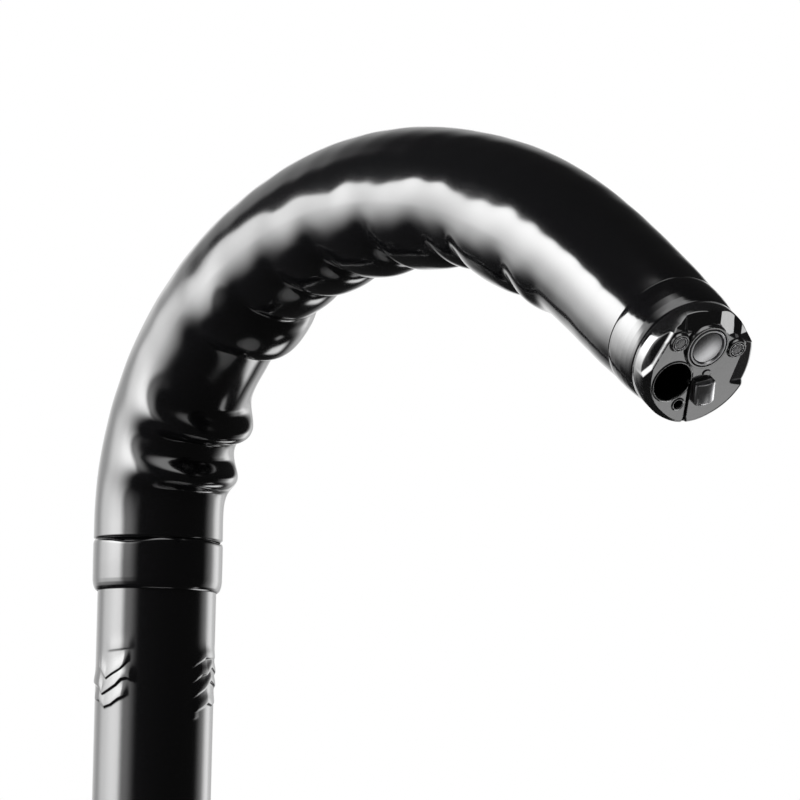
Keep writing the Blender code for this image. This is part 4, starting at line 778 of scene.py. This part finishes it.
def face_places(piece, centre):
    """Places of the mesh's points across the face, from the centre, in millimetres."""
    points = np.empty(len(piece.data.vertices) * 3)
    piece.data.vertices.foreach_get("co", points)
    middle, lean = chain_place(np.array([FACE_AT]))
    away = points.reshape(-1, 3) / MM - middle[0]
    inward = np.array([math.cos(lean[0]), 0.0, -math.sin(lean[0])])
    return away @ inward - centre[0], away[:, 1] - centre[1]


# The lens's colour is a painted reflection: dark on one side and pale on the other, as the light falls across it.
lens_painted_reflection_finish = new_finish("coated_lens_painted_reflection", (0.5, 0.5, 0.5), 0.18, 0.85, Coat_Weight=1.0, Coat_Roughness=0.03)
add_bump(lens_painted_reflection_finish, 300.0, 0.00001, 0.1)
# The ramp's greys paint the lens's reflection, from dark to pale.
shade_by(lens_painted_reflection_finish, "across", ((0.0, 0.20), (0.45, 0.36), (0.78, 0.75), (1.0, 1.0)))
nodes["rear_lens"].material_slots[0].material = barrel_finish
dome = [(FACE_AT + 0.30 - 0.055 * (r / 1.50) ** 2, r) for r in np.linspace(0.02, 1.46, 14)]
lens_profile = [(FACE_AT - 0.6, 0.02), (FACE_AT - 0.6, 1.50), (FACE_AT + 0.10, 1.50)] + dome[::-1]
front_lens = turn_round("objective_front", lens_profile, LENS, 96, closed_rows=False, sharp=50)
across_x, across_y = face_places(front_lens, LENS)
# This share runs diagonally across the lens and sets where its painted reflection is dark or pale.
store(front_lens, "across", 0.5 + (0.53 * across_x + 0.85 * across_y) / 3.0)
dress(front_lens, lens_painted_reflection_finish, "tip", "objective_lens")
barrel_profile = [(FACE_AT + z, r) for z, r in (
    (-7.4, 1.53), (-7.4, 1.80), (0.34, 1.80), (0.40, 1.74), (0.40, 1.62), (0.24, 1.53))]
barrel = turn_round("lens_barrel_turned", barrel_profile, LENS, 96, sharp=25)
dress(barrel, barrel_finish, "tip", "lens_barrel")
# A light guide is a bundle of fibres behind glass, in a bright ring.
guide_finish = new_finish("light_guide_glass", (0.2, 0.2, 0.2), 0.16, 0.8, Coat_Weight=1.0,
                          Coat_Roughness=0.04)
GUIDE_RADIUS = 0.62
add_bump(guide_finish, 7000.0, 0.00006, 0.7, texture="ShaderNodeTexVoronoi")
shade_by(guide_finish, "across", ((0.0, 0.20), (0.70, 0.26), (0.80, 0.10), (0.90, 0.85)))
for title, centre in (("left", GUIDES[0]), ("right", GUIDES[1])):
    profile = [(FACE_AT + z, r) for z, r in (
        (-2.3, 0.02), (-2.3, GUIDE_RADIUS), (0.22, GUIDE_RADIUS), (0.29, 0.60), (0.29, 0.54), (0.24, 0.50),
        (0.25, 0.30), (0.25, 0.02))]
    guide = turn_round(f"light_guide_{title}", profile, centre, 64, closed_rows=False, sharp=40)
    across_x, across_y = face_places(guide, centre)
    store(guide, "across", np.hypot(across_x, across_y) / GUIDE_RADIUS)
    dress(guide, guide_finish, "tip", f"light_guide_lens_{title}")


# Air and water nozzle
# A small polished hood, pressed to an arch and closed at the back, on a hollow stem. Its open end
# blows across the lens.
nozzle_finish = new_finish("polished_nozzle", (0.80, 0.80, 0.81), 0.36, 1.0)
add_bump(nozzle_finish, 1200.0, 0.00003, 0.25)
NOZZLE_FRONT, NOZZLE_BACK = 1.25, 0.95
NOZZLE_HALF_WIDTH, NOZZLE_HEIGHT, NOZZLE_SPRING = 1.0, 0.85, 0.35
NOZZLE_FOOT, NOZZLE_WALL, NOZZLE_FLOOR = 0.025, 0.20, 0.14


def hood_loop(place, thinner, foot):
    """Section of the hood, thinner all round by the given amount.

    It goes up one side, over half an ellipse, down the other side and back along the foot.
    """
    side = NOZZLE_HALF_WIDTH - thinner
    rise = NOZZLE_HEIGHT - thinner - NOZZLE_SPRING
    arch = np.linspace(0, math.pi, 49)
    up = np.linspace(foot, NOZZLE_SPRING, 9)[:-1]
    floor = np.linspace(-side, side, 17)[1:-1]
    width = np.concatenate([np.full(8, side), side * np.cos(arch), np.full(8, -side), floor])
    height = np.concatenate([up, NOZZLE_SPRING + rise * np.sin(arch), up[::-1], np.full(15, foot)])
    return np.stack([np.full(len(width), place), width, height], -1)


mouth_way = math.atan2(STEM_HOLE[1] - LENS[1], STEM_HOLE[0] - LENS[0])
bend = np.linspace(0, math.pi / 2, 7)
BACK_ROUND = 0.3
# From the inside's end forward to the mouth, round its lip, then back over the rounded rear
loops = [hood_loop(0.35, NOZZLE_WALL, NOZZLE_FLOOR),
         hood_loop(-NOZZLE_FRONT + 0.03, NOZZLE_WALL, NOZZLE_FLOOR),
         hood_loop(-NOZZLE_FRONT, NOZZLE_WALL - 0.03, NOZZLE_FLOOR - 0.03),
         hood_loop(-NOZZLE_FRONT, 0.05, NOZZLE_FOOT), hood_loop(-NOZZLE_FRONT + 0.05, 0.0, NOZZLE_FOOT)]
loops += [hood_loop(NOZZLE_BACK - BACK_ROUND + BACK_ROUND * math.sin(b), BACK_ROUND * (1 - math.cos(b)),
                    NOZZLE_FOOT) for b in bend]
local = np.stack(loops)
hood_x = STEM_HOLE[0] + local[..., 0] * math.cos(mouth_way) - local[..., 1] * math.sin(mouth_way)
hood_y = STEM_HOLE[1] + local[..., 0] * math.sin(mouth_way) + local[..., 1] * math.cos(mouth_way)
middle, lean = chain_place(np.array([FACE_AT]))
hood_grid = (middle[0] + hood_x[..., None] * np.array([math.cos(lean[0]), 0.0, -math.sin(lean[0])])
             + hood_y[..., None] * np.array([0.0, 1.0, 0.0])
             + local[..., 2:] * np.array([math.sin(lean[0]), 0.0, math.cos(lean[0])]))
hood = lay_surface("nozzle_hood", hood_grid, closed_rows=False, sharp=50)
dress(hood, nozzle_finish, "tip", "air_water_nozzle")
stem_profile = [(FACE_AT + z, r) for z, r in (
    (-4.2, 0.35), (-4.2, 0.60), (NOZZLE_FOOT, 0.60), (NOZZLE_FOOT, 0.35))]
stem = turn_round("nozzle_stem", stem_profile, STEM_HOLE[:2], 48, sharp=30)
dress(stem, nozzle_finish, "tip", "air_water_nozzle")


# Studio
# The photograph's long lens and place, a white world behind the part and a pale floor far below it.
# A dark tent round the part, which the camera doesn't see, carries the soft lights on its inside.
CAMERA_PLACE = (1.1998, -0.8995, -0.0661)
RIGHT = Vector((0.6113, 0.7914, 0.0))
UP = Vector((0.0598, -0.0462, 0.9971))
AHEAD = Vector((-0.7892, 0.6095, 0.0756))
ROLL = math.radians(1.458)
camera_data = bpy.data.cameras.new("photo_camera")
camera_data.lens = 746.7
camera_data.sensor_width = 36.0
camera_data.clip_start = 0.05
camera_data.clip_end = 20.0
camera = bpy.data.objects.new("photo_camera", camera_data)
bpy.context.scene.collection.objects.link(camera)
right = RIGHT * math.cos(ROLL) + UP * math.sin(ROLL)
up = UP * math.cos(ROLL) - RIGHT * math.sin(ROLL)
rows = [[right[i], up[i], -AHEAD[i]] for i in range(3)]
camera.matrix_world = Matrix.Translation(CAMERA_PLACE) @ Matrix(rows).to_4x4()
bpy.context.scene.camera = camera

scene = bpy.context.scene
scene.view_settings.view_transform = "Standard"
# The world is white to the camera, in reflections and through glass, and weaker as a light.
WORLD_LIGHT = 0.3
world = bpy.data.worlds.new("white_surround")
scene.world = world
world.use_nodes = True
tree = world.node_tree
background = tree.nodes["Background"]
background.inputs["Color"].default_value = (1.0, 1.0, 1.0, 1.0)
path = tree.nodes.new("ShaderNodeLightPath")
seen = tree.nodes.new("ShaderNodeMath")
seen.operation = "MAXIMUM"
tree.links.new(path.outputs["Is Camera Ray"], seen.inputs[0])
tree.links.new(path.outputs["Is Glossy Ray"], seen.inputs[1])
through = tree.nodes.new("ShaderNodeMath")
through.operation = "MAXIMUM"
tree.links.new(seen.outputs[0], through.inputs[0])
tree.links.new(path.outputs["Is Transmission Ray"], through.inputs[1])
level = tree.nodes.new("ShaderNodeMix")
level.inputs["A"].default_value = WORLD_LIGHT
level.inputs["B"].default_value = 1.0
tree.links.new(through.outputs[0], level.inputs["Factor"])
tree.links.new(level.outputs["Result"], background.inputs["Strength"])

MIDDLE = Vector((0.035, 0.0, 0.045))
FLOOR_HEIGHT = -1.0
FLOOR_HALF = 2.0
# The tent shades the floor, so this glow keeps it pale to the camera alone.
FLOOR_GLOW = 0.55
floor_mesh = bpy.data.meshes.new("studio_floor")
corners = [(x * FLOOR_HALF, y * FLOOR_HALF, FLOOR_HEIGHT) for x, y in ((-1, -1), (1, -1), (1, 1), (-1, 1))]
floor_mesh.from_pydata(corners, [], [(0, 1, 2, 3)])
floor = bpy.data.objects.new("studio_floor", floor_mesh)
scene.collection.objects.link(floor)
floor_finish = new_finish("studio_floor_white", (0.8, 0.8, 0.8), 0.8)
add_bump(floor_finish, 40.0, 0.0005, 0.2)
floor_tree = floor_finish.node_tree
floor_shader = floor_tree.nodes["Principled BSDF"]
floor_path = floor_tree.nodes.new("ShaderNodeLightPath")
shown = floor_tree.nodes.new("ShaderNodeMath")
shown.operation = "MULTIPLY"
shown.inputs[1].default_value = FLOOR_GLOW
floor_tree.links.new(floor_path.outputs["Is Camera Ray"], shown.inputs[0])
floor_shader.inputs["Emission Color"].default_value = (1.0, 1.0, 1.0, 1.0)
floor_tree.links.new(shown.outputs[0], floor_shader.inputs["Emission Strength"])
floor_mesh.materials.append(floor_finish)


def rise_and_fall(values, stops):
    """0 before the first stop, 1 between the second and third, 0 after the fourth, smooth between."""
    rise = (values - stops[0]) / (stops[1] - stops[0])
    fall = (stops[3] - values) / (stops[3] - stops[2])
    share = np.clip(np.minimum(rise, fall), 0, 1)
    return share * share * (3 - 2 * share)


# Each soft light: brightness, then the azimuths and the elevations in degrees between which it fades
SOFT_LIGHTS = {
    "softbox": (6.2, (-170, -120, -114, -100), (-34, 24, 60, 90)),
    "softbox halo": (1.4, (-176, -150, -96, -72), (-34, 24, 60, 90)),
    "white wall": (0.8, (122, 138, 198, 222), (-20, -4, 12, 20)),
    "wall above": (0.4, (122, 140, 186, 197), (10, 16, 24, 44)),
    "strip halo": (1.1, (52, 84, 110, 140), (-32, -12, 8, 18)),
    "strip": (1.5, (74, 90, 94, 112), (-24, -8, 6, 14)),
    "strip foot": (3.0, (88, 98, 106, 118), (-60, -52, -42, -30)),
    "top light": (1.3, (-100, -60, 0, 36), (32, 52, 75, 90)),
    "low fill": (1.25, (50, 57, 61, 68), (-54, -48, -42, -36)),
}
# The softbox and its halo end upwards at a bent edge, given by its corners' azimuths and elevations.
SOFTBOX_TOP = ((-176, -158, -148, -126, -72), (15, 16.5, 15.5, 29.5, 31))
TENT_DISTANCE = 0.95
AMBIENT = 0.02
azimuth, elevation = np.meshgrid(np.linspace(-180, 180, 721), np.linspace(-75, 90, 331))
glow = np.full(azimuth.shape, AMBIENT)
for name, (brightness, azimuths, elevations) in SOFT_LIGHTS.items():
    middle_azimuth = (azimuths[0] + azimuths[3]) / 2
    nearest = middle_azimuth + (azimuth - middle_azimuth + 180) % 360 - 180
    light = brightness * rise_and_fall(nearest, azimuths) * rise_and_fall(elevation, elevations)
    if name.startswith("softbox"):
        light = light * soft_step(np.interp(nearest, *SOFTBOX_TOP) - elevation, 1.2)
    glow = glow + light
turn, rise = np.radians(azimuth), np.radians(elevation)
way = np.stack([np.cos(turn) * np.cos(rise), np.sin(turn) * np.cos(rise), np.sin(rise)], -1)
tent_points = np.array(MIDDLE) + way.reshape(-1, 3) * TENT_DISTANCE
number = np.arange(azimuth.size).reshape(azimuth.shape)
squares = np.stack([number[:-1, :-1], number[:-1, 1:], number[1:, 1:], number[1:, :-1]], -1)
tent_mesh = bpy.data.meshes.new("light_tent")
tent_mesh.from_pydata(tent_points.tolist(), [], squares.reshape(-1, 4).tolist())
tent_mesh.attributes.new("glow", "FLOAT", "POINT").data.foreach_set("value", glow.ravel())
tent_finish = bpy.data.materials.new("light_tent")
tent_finish.use_nodes = True
tent_tree = tent_finish.node_tree
tent_tree.nodes.clear()
stored = tent_tree.nodes.new("ShaderNodeAttribute")
stored.attribute_name = "glow"
lamp = tent_tree.nodes.new("ShaderNodeEmission")
output = tent_tree.nodes.new("ShaderNodeOutputMaterial")
tent_tree.links.new(stored.outputs["Fac"], lamp.inputs["Strength"])
tent_tree.links.new(lamp.outputs[0], output.inputs["Surface"])
tent_mesh.materials.append(tent_finish)
tent = bpy.data.objects.new("light_tent", tent_mesh)
scene.collection.objects.link(tent)
tent.visible_camera = False
